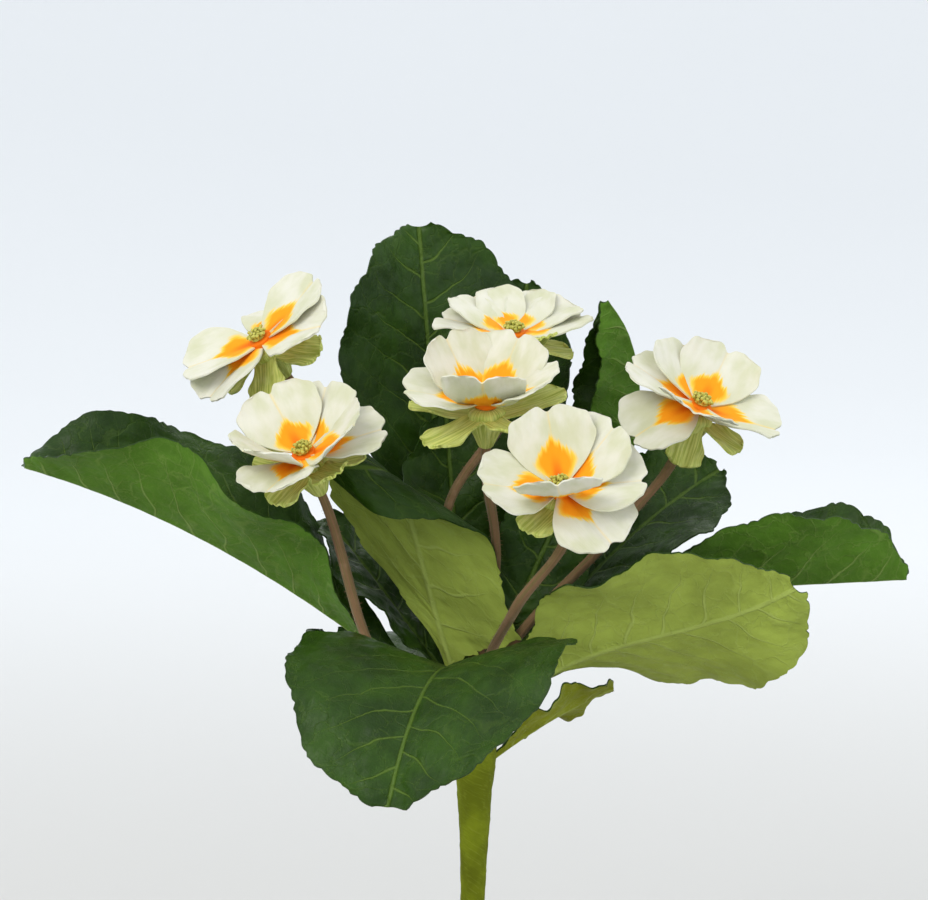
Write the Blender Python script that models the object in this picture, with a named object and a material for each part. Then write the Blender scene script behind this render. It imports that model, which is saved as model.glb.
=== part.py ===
"""A potted primrose: a wrapped stem in a plain clay pot, with a rosette of broad toothed leaves and six blooms.

Lengths are in millimetres and angles in degrees, until a mesh is made in metres.
+X runs to the right of the plant's front, +Y to its back, and +Z up from the middle of the pot's foot.
"""

import math
from collections import namedtuple

import bmesh
import bpy
from mathutils import Matrix, Vector

MM = 0.001
CLEARANCE = 0.3  # between two pieces that touch

# The pot
POT_HEIGHT = 98.0
POT_RIM_RADIUS = 60.0
POT_COLLAR_HEIGHT = 23.0  # the thick band below the rim
POT_COLLAR_STEP = 3.5
POT_FOOT_RADIUS = 39.0
POT_WALL = 5.0
POT_FLOOR = 7.0
POT_CHAMFER = 1.5
POT_SIDES = 32
DRAIN_RADIUS = 4.5
DRAIN_RING_RADIUS = 20.0
DRAIN_COUNT = 4
DRAIN_SIDES = 10

# The compost that fills it
SOIL_LEVEL = 89.0
SOIL_LUMP_HEIGHT = 1.6
SOIL_RINGS = 3

# The wrapped stem and the crown at its top, where the leaves and the flower stalks grow
STEM_FOOT_HEIGHT = 34.0
STEM_SIDES = 16
STEM_LEAN = 3.0  # how far the top stands to the right of the pot's middle
STEM_PROFILE = (  # height, radius
    (STEM_FOOT_HEIGHT, 3.1),
    (106.0, 3.1),
    (130.0, 3.9),
    (148.0, 5.0),
    (157.0, 6.2),
    (172.0, 6.8),
    (180.0, 6.0),
    (185.0, 3.6),
)

# The leaves
LEAF_BLADE = 0.7
LEAF_RIB = 1.5  # how far the midrib stands out below the blade at the root
LEAF_RIB_WIDTH = 2.6
LEAF_PETIOLE = 0.11  # the winged stalk's half width, as a share of the blade's
LEAF_STALK_SHARE = 0.16  # of the length, before the blade starts to widen
LEAF_TOOTH = 1.2  # how far a tooth stands out of the edge
LEAF_TEETH = 8  # along each edge
LEAF_SIDE_ROWS = 0.66  # the share of the rows that lie before the round end
LEAF_END_ANGLE = 84  # how far round its end the outline runs, which leaves the tip blunt

Leaf = namedtuple(
    "Leaf",
    "root length width azimuth pitch left right twist wave roll widest waves",
    defaults=(None, 0.70, 3.0),
)
# root: height on the crown. length and width: of the blade laid flat.
# azimuth and pitch: the midrib's direction at its root, middle and tip.
# left and right: how far each half stands up from the midrib at the root and at the tip, and how far it bends on.
# twist: the turn about the midrib at the root and at the tip. wave: the ruffle's height and its phase.
# roll: the share of the length where the tip rolls back under, the slant of that line, and the roll's radius.
# widest: where the blade is widest, as a share of its length. waves: ruffles along each edge.
LEAVES = {
    "leaf_left": Leaf(
        166, 148, 68, (183, 186, 187), (42, 32, 17), (16, 44, 8), (42, 50, 8), (0, 0), (5, 133), widest=0.60, waves=3.3
    ),
    "leaf_front": Leaf(
        165, 112, 78, (257, 257, 248), (58, 0, -62), (20, 6, -14), (24, 30, -10), (10, 8), (2, 40), widest=0.52
    ),
    "leaf_top": Leaf(
        158, 156, 62, (112, 106, 118), (56, 72, 80), (18, 18, 5), (12, 10, 0), (0, 0), (2, 80), widest=0.78
    ),
    "leaf_back_right": Leaf(164, 138, 44, (81, 75, 58), (50, 64, 76), (15, 15, 5), (15, 15, 5), (0, 0), (2, 10)),
    "leaf_upright": Leaf(171, 135, 40, (31, 30, 30), (56, 57, 136), (40, 60, 10), (70, 80, 0), (0, 0), (1.5, 60)),
    "leaf_mid_right": Leaf(165, 106, 50, (38, 25, 18), (48, 43, 27), (10, 10, 5), (10, 10, 5), (0, 25), (2, 30)),
    "leaf_far_right": Leaf(
        166, 135, 54, (355, 354, 353), (62, 14, 5), (-10, 55, 5), (35, 58, 8), (0, 0), (2, 70), widest=0.80
    ),
    "leaf_right_low": Leaf(
        162, 110, 64, (338, 336, 334), (60, 19, 33), (50, 0, 0), (10, 5, -40), (-40, -65), (2, 0), widest=0.52
    ),
    "leaf_low": Leaf(
        154, 46, 38, (14, 14, 14), (34, 27, 20), (10, 5, 0), (10, 5, 0), (-20, -30), (2, 50), widest=0.45
    ),
    "leaf_front_roll": Leaf(
        168, 108, 42, (185, 198, 204), (66, 75, 64), (8, 5, 0), (8, 5, 0), (60, 58), (1, 20),
        (0.62, 50, 5.0), 0.44,
    ),
    "leaf_left_back": Leaf(170, 70, 38, (157, 160, 161), (47, 51, 46), (12, 8, 0), (12, 8, 0), (0, -10), (2, 90)),
    "leaf_back_centre": Leaf(168, 90, 32, (104, 108, 112), (56, 74, 78), (15, 15, 5), (15, 15, 5), (0, 0), (2, 15)),
    "leaf_centre_right": Leaf(
        175, 84, 30, (14, 18, 24), (62, 64, 60), (15, 15, 5), (0, 0, 5), (60, 60), (2, 75), widest=0.45
    ),
    "leaf_back_low_left": Leaf(156, 70, 44, (132, 131, 130), (38, 24, 5), (12, 8, 0), (12, 8, 0), (0, 0), (2, 35)),
    "leaf_back_low_right": Leaf(156, 85, 46, (62, 62, 62), (38, 24, 5), (12, 8, 0), (12, 8, 0), (0, 0), (2, 55)),
}
LEAF_CELLS = (16, 2)  # rows along a leaf, and columns across each half
ROLLED_CELLS = (22, 3)  # of a leaf that rolls over

# The blooms
PETAL_LENGTH = 22.5
PETAL_WIDTH = 24.0
PETAL_THICKNESS = 0.6
PETAL_NOTCH = 0.08  # as a share of the length
PETAL_CLAW = 0.16  # half width at the root, as a share of the widest
PETAL_WIDEST = 0.64  # where that is, as a share of the length
PETAL_SIDE_ROWS = 0.55
PETAL_END_ANGLE = 72
PETAL_CELLS = (4, 2)
PETAL_ROOT_RADIUS = 1.2
PETAL_ROOT_HEIGHT = 0.8
PETAL_LAYER = 0.25  # petals next to each other start at different heights in the hub
HUB_RADIUS = 3.4
HUB_HEIGHT = 2.4
HEART_RADIUS = 2.3
ANTHER_COUNT = 8
ANTHER_LENGTH = 2.6
CALYX_HEIGHT = 12.5
CALYX_TOP_RADIUS = 5.2
LOBE_COUNT = 5
LOBE_WIDTH = 11.5
LOBE_ROOM = 17.0  # the angle that a lobe keeps below the petals over it
LOBE_SHELTER = 58  # how far to each side a petal still lies over a lobe
LOBE_LOWEST = -62
LOBE_THICKNESS = 0.6
LOBE_CELLS = (3, 1)
STALK_RADIUS = 1.45
STALK_SIDES = 6
STALK_RINGS = 10

Bloom = namedtuple("Bloom", "centre faces petals lobe foot via")
# centre: the middle of the bloom. faces: the azimuth and the pitch of its axis.
# petals: the azimuth round the axis and the rise above the bloom's plane of each petal.
# lobe: the calyx lobes' length, the rise of one with no petal over it, and the azimuth of the first.
# foot: where the flower stalk leaves the crown, from its middle. via: a point that it bends through on its way up.
BLOOMS = {
    "front": Bloom(
        (26, -45, 240),
        (260, 50),
        ((97, 38), (42, 23), (-2, 3), (-54, -11), (-169, 26), (-88, 58)),
        (13, 0, 20),
        (1.6, -3.9),
        (14, -28, 205),
    ),
    "centre": Bloom(
        (6, -20, 260),
        (270, 70),
        ((131, 44), (60, 38), (93, 30), (-94, 48), (-173, 14), (-22, 32)),
        (20, 0, 10),
        (0.3, 0.3),
        (9, -1.5, 214),
    ),
    "back": Bloom(
        (14, 14, 275),
        (270, 72),
        ((155, 2), (121, 9), (87, 5), (55, 3), (28, 2)),
        (15, 35, -126),
        (0.6, 4.2),
        (-5, 6, 225),
    ),
    "left_high": Bloom(
        (-56, 0, 275),
        (220, 50),
        ((30, 11), (-24, 2), (-174, 8), (-138, -4), (74, -20)),
        (14, 0, -100),
        (-3.0, 2.9),
        (-26, 7, 222),
    ),
    "left": Bloom(
        (-43, -30, 247),
        (236, 57),
        ((67, 22), (-138, 46), (112, 32), (-21, 32), (8, -3), (-112, 14)),
        (13, 0, 20),
        (-3.6, -2.6),
        (-24, -21, 190),
    ),
    "right": Bloom(
        (65, -5, 257),
        (315, 60),
        ((156, 4), (108, 20), (72, 28), (-12, 8), (-146, -34), (-106, 22)),
        (13, 0, 50),
        (4.2, -1.2),
        (42, -4, 222),
    ),
}

COLOURS = {
    "clay": ((0.42, 0.17, 0.09, 1), 0.85),
    "compost": ((0.035, 0.022, 0.014, 1), 0.95),
    "stem_wrap": ((0.26, 0.33, 0.07, 1), 0.6),
    "leaf": ((0.035, 0.10, 0.018, 1), 0.45),
    "petal": ((0.86, 0.83, 0.70, 1), 0.6),
    "calyx": ((0.36, 0.45, 0.13, 1), 0.6),
    "heart": ((0.62, 0.60, 0.16, 1), 0.7),
    "stalk": ((0.30, 0.16, 0.11, 1), 0.7),
}


def material(name):
    """The Principled material of one finish, made once."""
    found = bpy.data.materials.get(name)
    if found:
        return found
    colour, roughness = COLOURS[name]
    made = bpy.data.materials.new(name)
    made.use_nodes = True
    shader = made.node_tree.nodes["Principled BSDF"]
    shader.inputs["Base Color"].default_value = colour
    shader.inputs["Roughness"].default_value = roughness
    shader.inputs["Metallic"].default_value = 0.0
    made.diffuse_color = colour
    return made


def add_object(name, points, faces, finish, origin=(0, 0, 0)):
    """A mesh object from points in millimetres, with its origin at a natural point of the piece."""
    origin = Vector(origin)
    mesh = bpy.data.meshes.new(name)
    mesh.from_pydata([(Vector(p) - origin) * MM for p in points], [], faces)
    mesh.materials.append(material(finish))
    mesh.shade_smooth()
    mesh.set_sharp_from_angle(angle=math.radians(50))
    obj = bpy.data.objects.new(name, mesh)
    obj.location = origin * MM
    bpy.context.scene.collection.objects.link(obj)
    return obj


def apply_boolean(obj, operation, cutter=None, collection=None):
    """Joins or cuts obj, and applies the result to its mesh."""
    boolean = obj.modifiers.new(operation.title(), "BOOLEAN")
    boolean.operation = operation
    boolean.solver = "EXACT"
    if collection:
        boolean.operand_type = "COLLECTION"
        boolean.collection = collection
    else:
        boolean.object = cutter
    graph = bpy.context.evaluated_depsgraph_get()
    made = bpy.data.meshes.new_from_object(obj.evaluated_get(graph))
    obj.modifiers.remove(boolean)
    obj.data = made
    return obj


def fuse(name, base, others):
    """One body from a base and what grows from it."""
    group = bpy.data.collections.new(name + "_repeats")
    bpy.context.scene.collection.children.link(group)
    for other in others:
        group.objects.link(other)
        bpy.context.scene.collection.objects.unlink(other)
    bpy.context.view_layer.update()
    apply_boolean(base, "UNION", collection=group)
    for other in others:
        bpy.data.objects.remove(other)
    bpy.data.collections.remove(group)
    return base


def smooth(x):
    """Runs from 0 to 1 with no corner at either end."""
    x = min(1.0, max(0.0, x))
    return x * x * (3 - 2 * x)


def through(values, share):
    """The parabola through a value at the root, the middle and the tip."""
    root, middle, tip = values
    return root * (1 - share) * (1 - 2 * share) + middle * 4 * share * (1 - share) + tip * share * (2 * share - 1)


# Turned and swept solids


def turned(profile, sides):
    """(points, faces) of the solid whose half outline runs from the axis, up its outer side and back to the axis."""
    points = [(0, 0, profile[0][1])]
    for radius, height in profile[1:-1]:
        for k in range(sides):
            angle = math.tau * k / sides
            points.append((radius * math.cos(angle), radius * math.sin(angle), height))
    points.append((0, 0, profile[-1][1]))
    rings = len(profile) - 2
    faces = closed_rings(rings, sides, first=1)
    last = len(points) - 1
    for k in range(sides):
        after = (k + 1) % sides
        faces.append((0, 1 + after, 1 + k))
        top = 1 + (rings - 1) * sides
        faces.append((last, top + k, top + after))
    return points, faces


def closed_rings(rings, sides, first=0):
    """The side faces between rings of points."""
    faces = []
    for i in range(rings - 1):
        for k in range(sides):
            a = first + i * sides + k
            b = first + i * sides + (k + 1) % sides
            faces.append((a, b, b + sides, a + sides))
    return faces


def swept(path, radii, sides):
    """(points, faces) of a round bar along a path, with flat ends."""
    points = []
    across = Vector((1, 0, 0))
    for i, centre in enumerate(path):
        along = (path[min(i + 1, len(path) - 1)] - path[max(i - 1, 0)]).normalized()
        across = (across - along * across.dot(along)).normalized()
        up = along.cross(across)
        for k in range(sides):
            angle = math.tau * k / sides
            points.append(centre + (across * math.cos(angle) + up * math.sin(angle)) * radii[i])
    faces = closed_rings(len(path), sides)
    faces.append(tuple(reversed(range(sides))))
    faces.append(tuple(range(len(points) - sides, len(points))))
    return points, faces


# Blades: leaves, petals and calyx lobes are all a thin sheet along a bent rib


class Rib:
    """The middle line of a blade, followed from its root by its direction, with a side and a face direction."""

    STEPS = 60

    def __init__(self, root, length, azimuth, pitch, twist=(0, 0), frame=None):
        self.length, self.azimuth, self.pitch, self.twist = length, azimuth, pitch, twist
        self.frame = frame or Matrix.Identity(3)
        self.points = [Vector(root)]
        for step in range(self.STEPS):
            along = self.directions((step + 0.5) / self.STEPS)[0]
            self.points.append(self.points[-1] + along * (length / self.STEPS))

    def directions(self, share):
        """(along, side, face) at a share of the length."""
        turn = math.radians(through(self.azimuth, share))
        rise = math.radians(through(self.pitch, share))
        along = Vector((math.cos(rise) * math.cos(turn), math.cos(rise) * math.sin(turn), math.sin(rise)))
        side = Vector((-math.sin(turn), math.cos(turn), 0))
        twist = self.twist[0] + (self.twist[1] - self.twist[0]) * smooth(share)
        side = Matrix.Rotation(math.radians(twist), 3, along) @ side
        return self.frame @ along, self.frame @ side, self.frame @ along.cross(side)

    def point(self, share):
        place = min(max(share, 0.0), 1.0) * self.STEPS
        step = min(int(place), self.STEPS - 1)
        start, end = self.points[step], self.points[step + 1]
        return start + (end - start) * (place - step)


def half_section(distance, fold, bend, width):
    """(across, up, slope) at a distance from the rib, on a half that stands up by fold and bends on by bend."""
    slope = fold + bend * distance / width
    if abs(bend) < 1e-4:
        return distance * math.cos(fold), distance * math.sin(fold), slope
    radius = width / bend
    return radius * (math.sin(slope) - math.sin(fold)), radius * (math.cos(fold) - math.cos(slope)), slope


def rolled(point, rib, roll):
    """A point of a blade after the part beyond a slanted line has rolled back under it."""
    share, slant, radius = roll
    along, side, face = rib.directions(share)
    slant = math.radians(slant)
    onward = along * math.cos(slant) + side * math.sin(slant)
    offset = point - rib.point(share)
    beyond = offset.dot(onward)
    if beyond <= 0:
        return point
    above = offset.dot(face)
    turn = beyond / radius
    onward_now = (radius + above) * math.sin(turn)
    above_now = (radius + above) * math.cos(turn) - radius
    return point + onward * (onward_now - beyond) + face * (above_now - above)


def blade(rib, half_width, outline, sections, thickness, ruffle, rows, columns, slant=0.0):
    """(points, faces) of a closed thin sheet. Both faces are split into the same triangles.

    outline(q, t) gives the share of the length and of the half width at row q and place t across, from -1 to 1.
    sections are the left and right halves' angles. thickness and ruffle are functions of the share and of t.
    slant turns every row from square across the rib, so that the rows run along a slanted roll.
    """
    span = range(-columns, columns + 1)
    upper, lower = [], []
    for i in range(rows + 1):
        for j in span:
            t = j / columns
            share, out = outline(i / rows, t)
            distance = abs(out) * half_width
            share -= math.tan(math.radians(slant)) * out * half_width / rib.length
            fold_root, fold_tip, bend = sections[0 if t > 0 else 1]
            fold = math.radians(fold_root + (fold_tip - fold_root) * share)
            across, up, slope = half_section(distance, fold, math.radians(bend) * smooth(share * 1.6), half_width)
            along, side, face = rib.directions(share)
            hand = 1 if t > 0 else -1
            centre = rib.point(share) + side * (hand * across) + face * up
            out_of_face = face * math.cos(slope) - side * (hand * math.sin(slope))
            if j == 0:
                out_of_face = face
            centre += out_of_face * ruffle(share, t)
            above, below = thickness(share, distance)
            upper.append(centre + out_of_face * above)
            lower.append(centre - out_of_face * below)
    width = len(span)
    count = len(upper)
    faces = []
    for i in range(rows):
        for j in range(width - 1):
            a, b = i * width + j, i * width + j + 1
            c, d = b + width, a + width
            faces += [(a, c, b), (a, d, c)]
            faces += [(count + a, count + b, count + c), (count + a, count + c, count + d)]
    border = [j for j in range(width)]
    border += [i * width + width - 1 for i in range(1, rows + 1)]
    border += [rows * width + j for j in range(width - 2, -1, -1)]
    border += [i * width for i in range(rows - 1, 0, -1)]
    for a, b in zip(border, border[1:] + border[:1]):
        faces += [(a, b, count + b), (a, count + b, count + a)]
    return upper + lower, faces


def leaf_outline(leaf):
    """A primrose leaf laid flat: a winged stalk, a blade that widens to a round end, and blunt teeth."""

    def outline(q, t):
        if q < LEAF_SIDE_ROWS:
            share = leaf.widest * q / LEAF_SIDE_ROWS
            broad = smooth((share - LEAF_STALK_SHARE) / (leaf.widest - LEAF_STALK_SHARE))
            out = LEAF_PETIOLE + (1 - LEAF_PETIOLE) * broad
            slant = 0.0
        else:
            slant = math.radians(LEAF_END_ANGLE) * (q - LEAF_SIDE_ROWS) / (1 - LEAF_SIDE_ROWS)
            share = leaf.widest + (1 - leaf.widest) * math.sin(slant)
            out = math.cos(slant)
        tooth = LEAF_TOOTH * smooth((q - 0.25) / 0.2) * math.cos(math.tau * LEAF_TEETH * q) * abs(t) ** 3
        share += tooth / leaf.length * math.sin(slant)
        return share, t * out + math.copysign(tooth / (leaf.width / 2) * math.cos(slant), t)

    return outline


def petal_outline(q, t):
    """A petal laid flat: a narrow claw, a broad round end and a notch in its middle."""
    if q < PETAL_SIDE_ROWS:
        share = PETAL_WIDEST * q / PETAL_SIDE_ROWS
        out = PETAL_CLAW + (1 - PETAL_CLAW) * math.sin(math.pi / 2 * share / PETAL_WIDEST)
    else:
        end = math.radians(PETAL_END_ANGLE)
        angle = end * (q - PETAL_SIDE_ROWS) / (1 - PETAL_SIDE_ROWS)
        share = PETAL_WIDEST + (1 - PETAL_WIDEST) * math.sin(angle) / math.sin(end)
        out = math.cos(angle) ** 0.6
    notch = PETAL_NOTCH * math.exp(-((t / 0.4) ** 2)) * share**5
    return share * (1 - notch), t * out


def lobe_outline(q, t):
    """A calyx lobe laid flat: broad at the root and blunt at the tip."""
    share = math.sin(math.radians(90) * q)
    out = 0.55 + 0.45 * smooth(q / 0.5) if q < 0.5 else math.cos(math.radians(140) * (q - 0.5)) ** 0.7
    return share, t * out


def build_leaf(name, leaf):
    """A leaf from the crown's axis outwards. Its root is cut back to the crown later."""
    root = (STEM_LEAN, 0, leaf.root)
    rib = Rib(root, leaf.length, leaf.azimuth, leaf.pitch, leaf.twist)
    height, phase = leaf.wave

    def ruffle(share, t):
        turn = math.tau * leaf.waves * share + math.radians(phase) + (2.1 if t > 0 else 0)
        return height * t * t * math.sin(turn) * smooth((share - 0.15) / 0.4)

    def thickness(share, distance):
        rib_depth = LEAF_RIB * max(0.0, 1 - share) ** 1.5 * max(0.0, 1 - distance / LEAF_RIB_WIDTH)
        return LEAF_BLADE / 2, LEAF_BLADE / 2 + rib_depth

    sections = (leaf.left, leaf.right)
    cells = ROLLED_CELLS if leaf.roll else LEAF_CELLS
    slant = leaf.roll[1] if leaf.roll else 0.0
    points, faces = blade(rib, leaf.width / 2, leaf_outline(leaf), sections, thickness, ruffle, *cells, slant)
    if leaf.roll:
        points = [rolled(point, rib, leaf.roll) for point in points]
    return add_object(name, points, faces, "leaf", root)


def build_leaves(cutter):
    for name, leaf in LEAVES.items():
        apply_boolean(build_leaf(name, leaf), "DIFFERENCE", cutter)


# The stem, the pot and the compost


def stem_path(extra_radius=0.0):
    """The wrapped stem's middle line and radii. It leans a little on its way up."""
    foot = STEM_PROFILE[0][0]
    bend = STEM_PROFILE[3][0]
    path, radii = [], []
    for height, radius in STEM_PROFILE:
        path.append(Vector((STEM_LEAN * smooth((height - foot) / (bend - foot)), 0, height)))
        radii.append(radius + extra_radius)
    return path, radii


def build_stem():
    points, faces = swept(*stem_path(), STEM_SIDES)
    return add_object("stem", points, faces, "stem_wrap", (0, 0, STEM_FOOT_HEIGHT))


def stem_cutter(name):
    """The room that a neighbour leaves round the stem and the crown."""
    path, radii = stem_path(CLEARANCE)
    path[0] = path[0] - Vector((0, 0, CLEARANCE))
    path[-1] = path[-1] + Vector((0, 0, CLEARANCE))
    points, faces = swept(path, radii, STEM_SIDES)
    cutter = add_object(name, points, faces, "stem_wrap")
    cutter.hide_render = True
    cutter.display_type = "WIRE"
    return cutter


def wall_radius(height):
    """The pot's outer radius below the collar."""
    top = POT_RIM_RADIUS - POT_COLLAR_STEP
    return POT_FOOT_RADIUS + (top - POT_FOOT_RADIUS) * height / POT_HEIGHT


def build_pot():
    """A tapered pot with a thick collar, and drain holes through its floor."""
    collar = POT_HEIGHT - POT_COLLAR_HEIGHT
    outer_rim = POT_RIM_RADIUS
    profile = [
        (0, 0),
        (POT_FOOT_RADIUS - POT_CHAMFER, 0),
        (POT_FOOT_RADIUS, POT_CHAMFER),
        (wall_radius(collar), collar),
        (wall_radius(collar) + POT_COLLAR_STEP - POT_CHAMFER / 2, collar + POT_CHAMFER / 2),
        (outer_rim, POT_HEIGHT - POT_CHAMFER),
        (outer_rim - POT_CHAMFER, POT_HEIGHT),
        (outer_rim - POT_WALL - POT_COLLAR_STEP + POT_CHAMFER, POT_HEIGHT),
        (wall_radius(POT_HEIGHT) - POT_WALL, POT_HEIGHT - POT_CHAMFER),
        (wall_radius(POT_FLOOR) - POT_WALL, POT_FLOOR),
        (0, POT_FLOOR),
    ]
    points, faces = turned(profile, POT_SIDES)
    pot = add_object("pot", points, faces, "clay")
    for k in range(DRAIN_COUNT):
        angle = math.tau * (k + 0.5) / DRAIN_COUNT
        foot = Vector((math.cos(angle), math.sin(angle), 0)) * DRAIN_RING_RADIUS
        path = [foot + Vector((0, 0, -POT_FLOOR)), foot + Vector((0, 0, 2 * POT_FLOOR))]
        points, faces = swept(path, [DRAIN_RADIUS] * 2, DRAIN_SIDES)
        drill = add_object("drill", points, faces, "clay")
        bpy.context.view_layer.update()
        apply_boolean(pot, "DIFFERENCE", drill)
        bpy.data.objects.remove(drill)
    return pot


def soil_lump(x, y):
    """The height of the crumbled surface over its mean level, sinking a little to the pot's wall."""
    lump = math.sin(x * 0.31 + 1.3) * math.cos(y * 0.27 - 0.4) + 0.6 * math.sin(x * 0.12 - y * 0.21)
    return SOIL_LUMP_HEIGHT * lump / 1.6 - 0.0009 * (x * x + y * y)


def build_soil(cutter):
    """The compost: its side follows the pot's inner wall, and the stem stands in a plain hole."""
    inner = POT_WALL + CLEARANCE
    low = POT_FLOOR + CLEARANCE
    profile = [(0, low), (wall_radius(low) - inner, low)]
    for k in range(SOIL_RINGS, 0, -1):
        profile.append(((wall_radius(SOIL_LEVEL - 3) - inner) * k / SOIL_RINGS, SOIL_LEVEL))
    profile.append((0, SOIL_LEVEL))
    points, faces = turned(profile, POT_SIDES)
    points = [(x, y, z + soil_lump(x, y) if z > SOIL_LEVEL - 1 else z) for x, y, z in points]
    soil = add_object("soil", points, faces, "compost")
    return apply_boolean(soil, "DIFFERENCE", cutter)


# The blooms


def bloom_frame(faces):
    """The bloom's own directions: its third is its axis, and its first is as near to the plant's right as it can be."""
    turn, rise = (math.radians(angle) for angle in faces)
    axis = Vector((math.cos(rise) * math.cos(turn), math.cos(rise) * math.sin(turn), math.sin(rise)))
    first = (Vector((1, 0, 0)) - axis * axis.x).normalized()
    return Matrix((first, axis.cross(first), axis)).transposed()


def placed(points, frame, origin):
    return [frame @ Vector(p) + Vector(origin) for p in points]


def build_corolla(name, bloom):
    """The petals of one bloom, fused at a small hub."""
    frame = bloom_frame(bloom.faces)
    hub_profile = [(0, 0), (HUB_RADIUS, 0), (HUB_RADIUS, HUB_HEIGHT), (0, HUB_HEIGHT)]
    points, faces = turned(hub_profile, 8)
    hub = add_object(name, placed(points, frame, bloom.centre), faces, "petal", bloom.centre)
    petals = []
    for k, (turn, rise) in enumerate(bloom.petals):
        root = Vector((math.cos(math.radians(turn)), math.sin(math.radians(turn)), 0)) * PETAL_ROOT_RADIUS
        root.z = PETAL_ROOT_HEIGHT + PETAL_LAYER * (k % 3)
        pitch = (0.35 * rise + 6, rise + 2, rise * 1.15)
        rib = Rib(frame @ root + Vector(bloom.centre), PETAL_LENGTH, (turn,) * 3, pitch, frame=frame)
        points, faces = blade(
            rib,
            PETAL_WIDTH / 2,
            petal_outline,
            ((8, 4, 14), (8, 4, 14)),
            lambda share, distance: (PETAL_THICKNESS / 2, PETAL_THICKNESS / 2),
            lambda share, t: 0.7 * t * t * math.sin(5 * share + 1.7 * turn),
            *PETAL_CELLS,
        )
        petals.append(add_object(f"{name}_petal_{k}", points, faces, "petal"))
    return fuse(name, hub, petals)


def lobe_rise(bloom, turn):
    """The rise of a calyx lobe: below the lowest petal over it, or its own where no petal is."""
    over = [rise for petal, rise in bloom.petals if abs((turn - petal + 180) % 360 - 180) < LOBE_SHELTER]
    return max(LOBE_LOWEST, min(over) - LOBE_ROOM) if over else bloom.lobe[1]


def build_calyx(name, bloom):
    """A green funnel below the petals, with blunt lobes round its mouth."""
    frame = bloom_frame(bloom.faces)
    length, _, first = bloom.lobe
    mouth = -CLEARANCE
    profile = [
        (0, mouth - CALYX_HEIGHT),
        (STALK_RADIUS + 0.5, mouth - CALYX_HEIGHT),
        (CALYX_TOP_RADIUS - 0.6, mouth - CALYX_HEIGHT * 0.45),
        (CALYX_TOP_RADIUS, mouth - 1.2),
        (HUB_RADIUS, mouth),
        (0, mouth),
    ]
    points, faces = turned(profile, 8)
    cup = add_object(name, placed(points, frame, bloom.centre), faces, "calyx", bloom.centre)
    lobes = []
    for k in range(LOBE_COUNT):
        turn = first + 360 / LOBE_COUNT * k
        rise = lobe_rise(bloom, turn)
        root = Vector((math.cos(math.radians(turn)), math.sin(math.radians(turn)), 0)) * (CALYX_TOP_RADIUS - 2)
        root.z = mouth - 2.4
        rib = Rib(frame @ root + Vector(bloom.centre), length, (turn,) * 3, (rise - 8, rise, rise + 10), frame=frame)
        points, faces = blade(
            rib,
            LOBE_WIDTH / 2,
            lobe_outline,
            ((5, 5, 10), (5, 5, 10)),
            lambda share, distance: (LOBE_THICKNESS / 2, LOBE_THICKNESS / 2),
            lambda share, t: 0.5 * t * t * math.sin(7 * share + turn),
            *LOBE_CELLS,
        )
        lobes.append(add_object(f"{name}_lobe_{k}", points, faces, "calyx"))
    return fuse(name, cup, lobes)


def build_heart(name, bloom):
    """The small cluster of anthers in the throat."""
    frame = bloom_frame(bloom.faces)
    foot = HUB_HEIGHT + CLEARANCE
    profile = [(0, foot), (HEART_RADIUS, foot), (HEART_RADIUS * 0.8, foot + 1.0), (0, foot + 1.4)]
    points, faces = turned(profile, 8)
    cushion = add_object(name, placed(points, frame, bloom.centre), faces, "heart", bloom.centre)
    anthers = []
    for k in range(ANTHER_COUNT):
        turn = math.tau * k / ANTHER_COUNT
        out = Vector((math.cos(turn), math.sin(turn), 0))
        reach = 0.9 if k % 2 else 0.35
        start = out * (HEART_RADIUS * 0.55) + Vector((0, 0, foot + 0.4))
        end = start + (out * reach + Vector((0, 0, 1))).normalized() * ANTHER_LENGTH
        points, faces = swept(placed([start, end], frame, bloom.centre), [0.42, 0.55], 3)
        anthers.append(add_object(f"{name}_anther_{k}", points, faces, "heart"))
    return fuse(name, cushion, anthers)


def stalk_path(bloom):
    """From inside the crown, through the via point, to the calyx's foot, arriving along the bloom's axis."""
    axis = bloom_frame(bloom.faces).col[2]
    end = Vector(bloom.centre) - axis * (CALYX_HEIGHT + 2 * CLEARANCE)
    bend = end - axis * 2
    via = Vector(bloom.via)
    start = Vector((STEM_LEAN + bloom.foot[0], bloom.foot[1], STEM_PROFILE[-2][0] - 2))
    leave = (via - start) * 0.6 + Vector((0, 0, (via - start).length * 0.5))
    passing = (bend - start) * 0.5
    arrive = axis * (bend - via).length * 1.1
    path = []
    for first, last, out, into in ((start, via, leave, passing), (via, bend, passing, arrive)):
        for k in range(STALK_RINGS // 2):
            t = k / (STALK_RINGS // 2)
            rise = t * t * (3 - 2 * t)
            path.append(first * (1 - rise) + last * rise + out * (t * (1 - t) ** 2) - into * (t * t * (1 - t)))
    return [*path, bend, end]


def build_stalk(name, bloom, cutter):
    path = stalk_path(bloom)
    points, faces = swept(path, [STALK_RADIUS] * len(path), STALK_SIDES)
    stalk = add_object(name, points, faces, "stalk", path[-1])
    return apply_boolean(stalk, "DIFFERENCE", cutter)


def build_blooms(cutter):
    for name, bloom in BLOOMS.items():
        build_corolla(f"corolla_{name}", bloom)
        build_calyx(f"calyx_{name}", bloom)
        build_heart(f"heart_{name}", bloom)
        build_stalk(f"stalk_{name}", bloom, cutter)


def main():
    for obj in list(bpy.data.objects):
        bpy.data.objects.remove(obj)
    cutter = stem_cutter("stem_room")
    bpy.context.view_layer.update()
    build_pot()
    build_soil(cutter)
    build_stem()
    build_leaves(cutter)
    build_blooms(cutter)


main()
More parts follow.
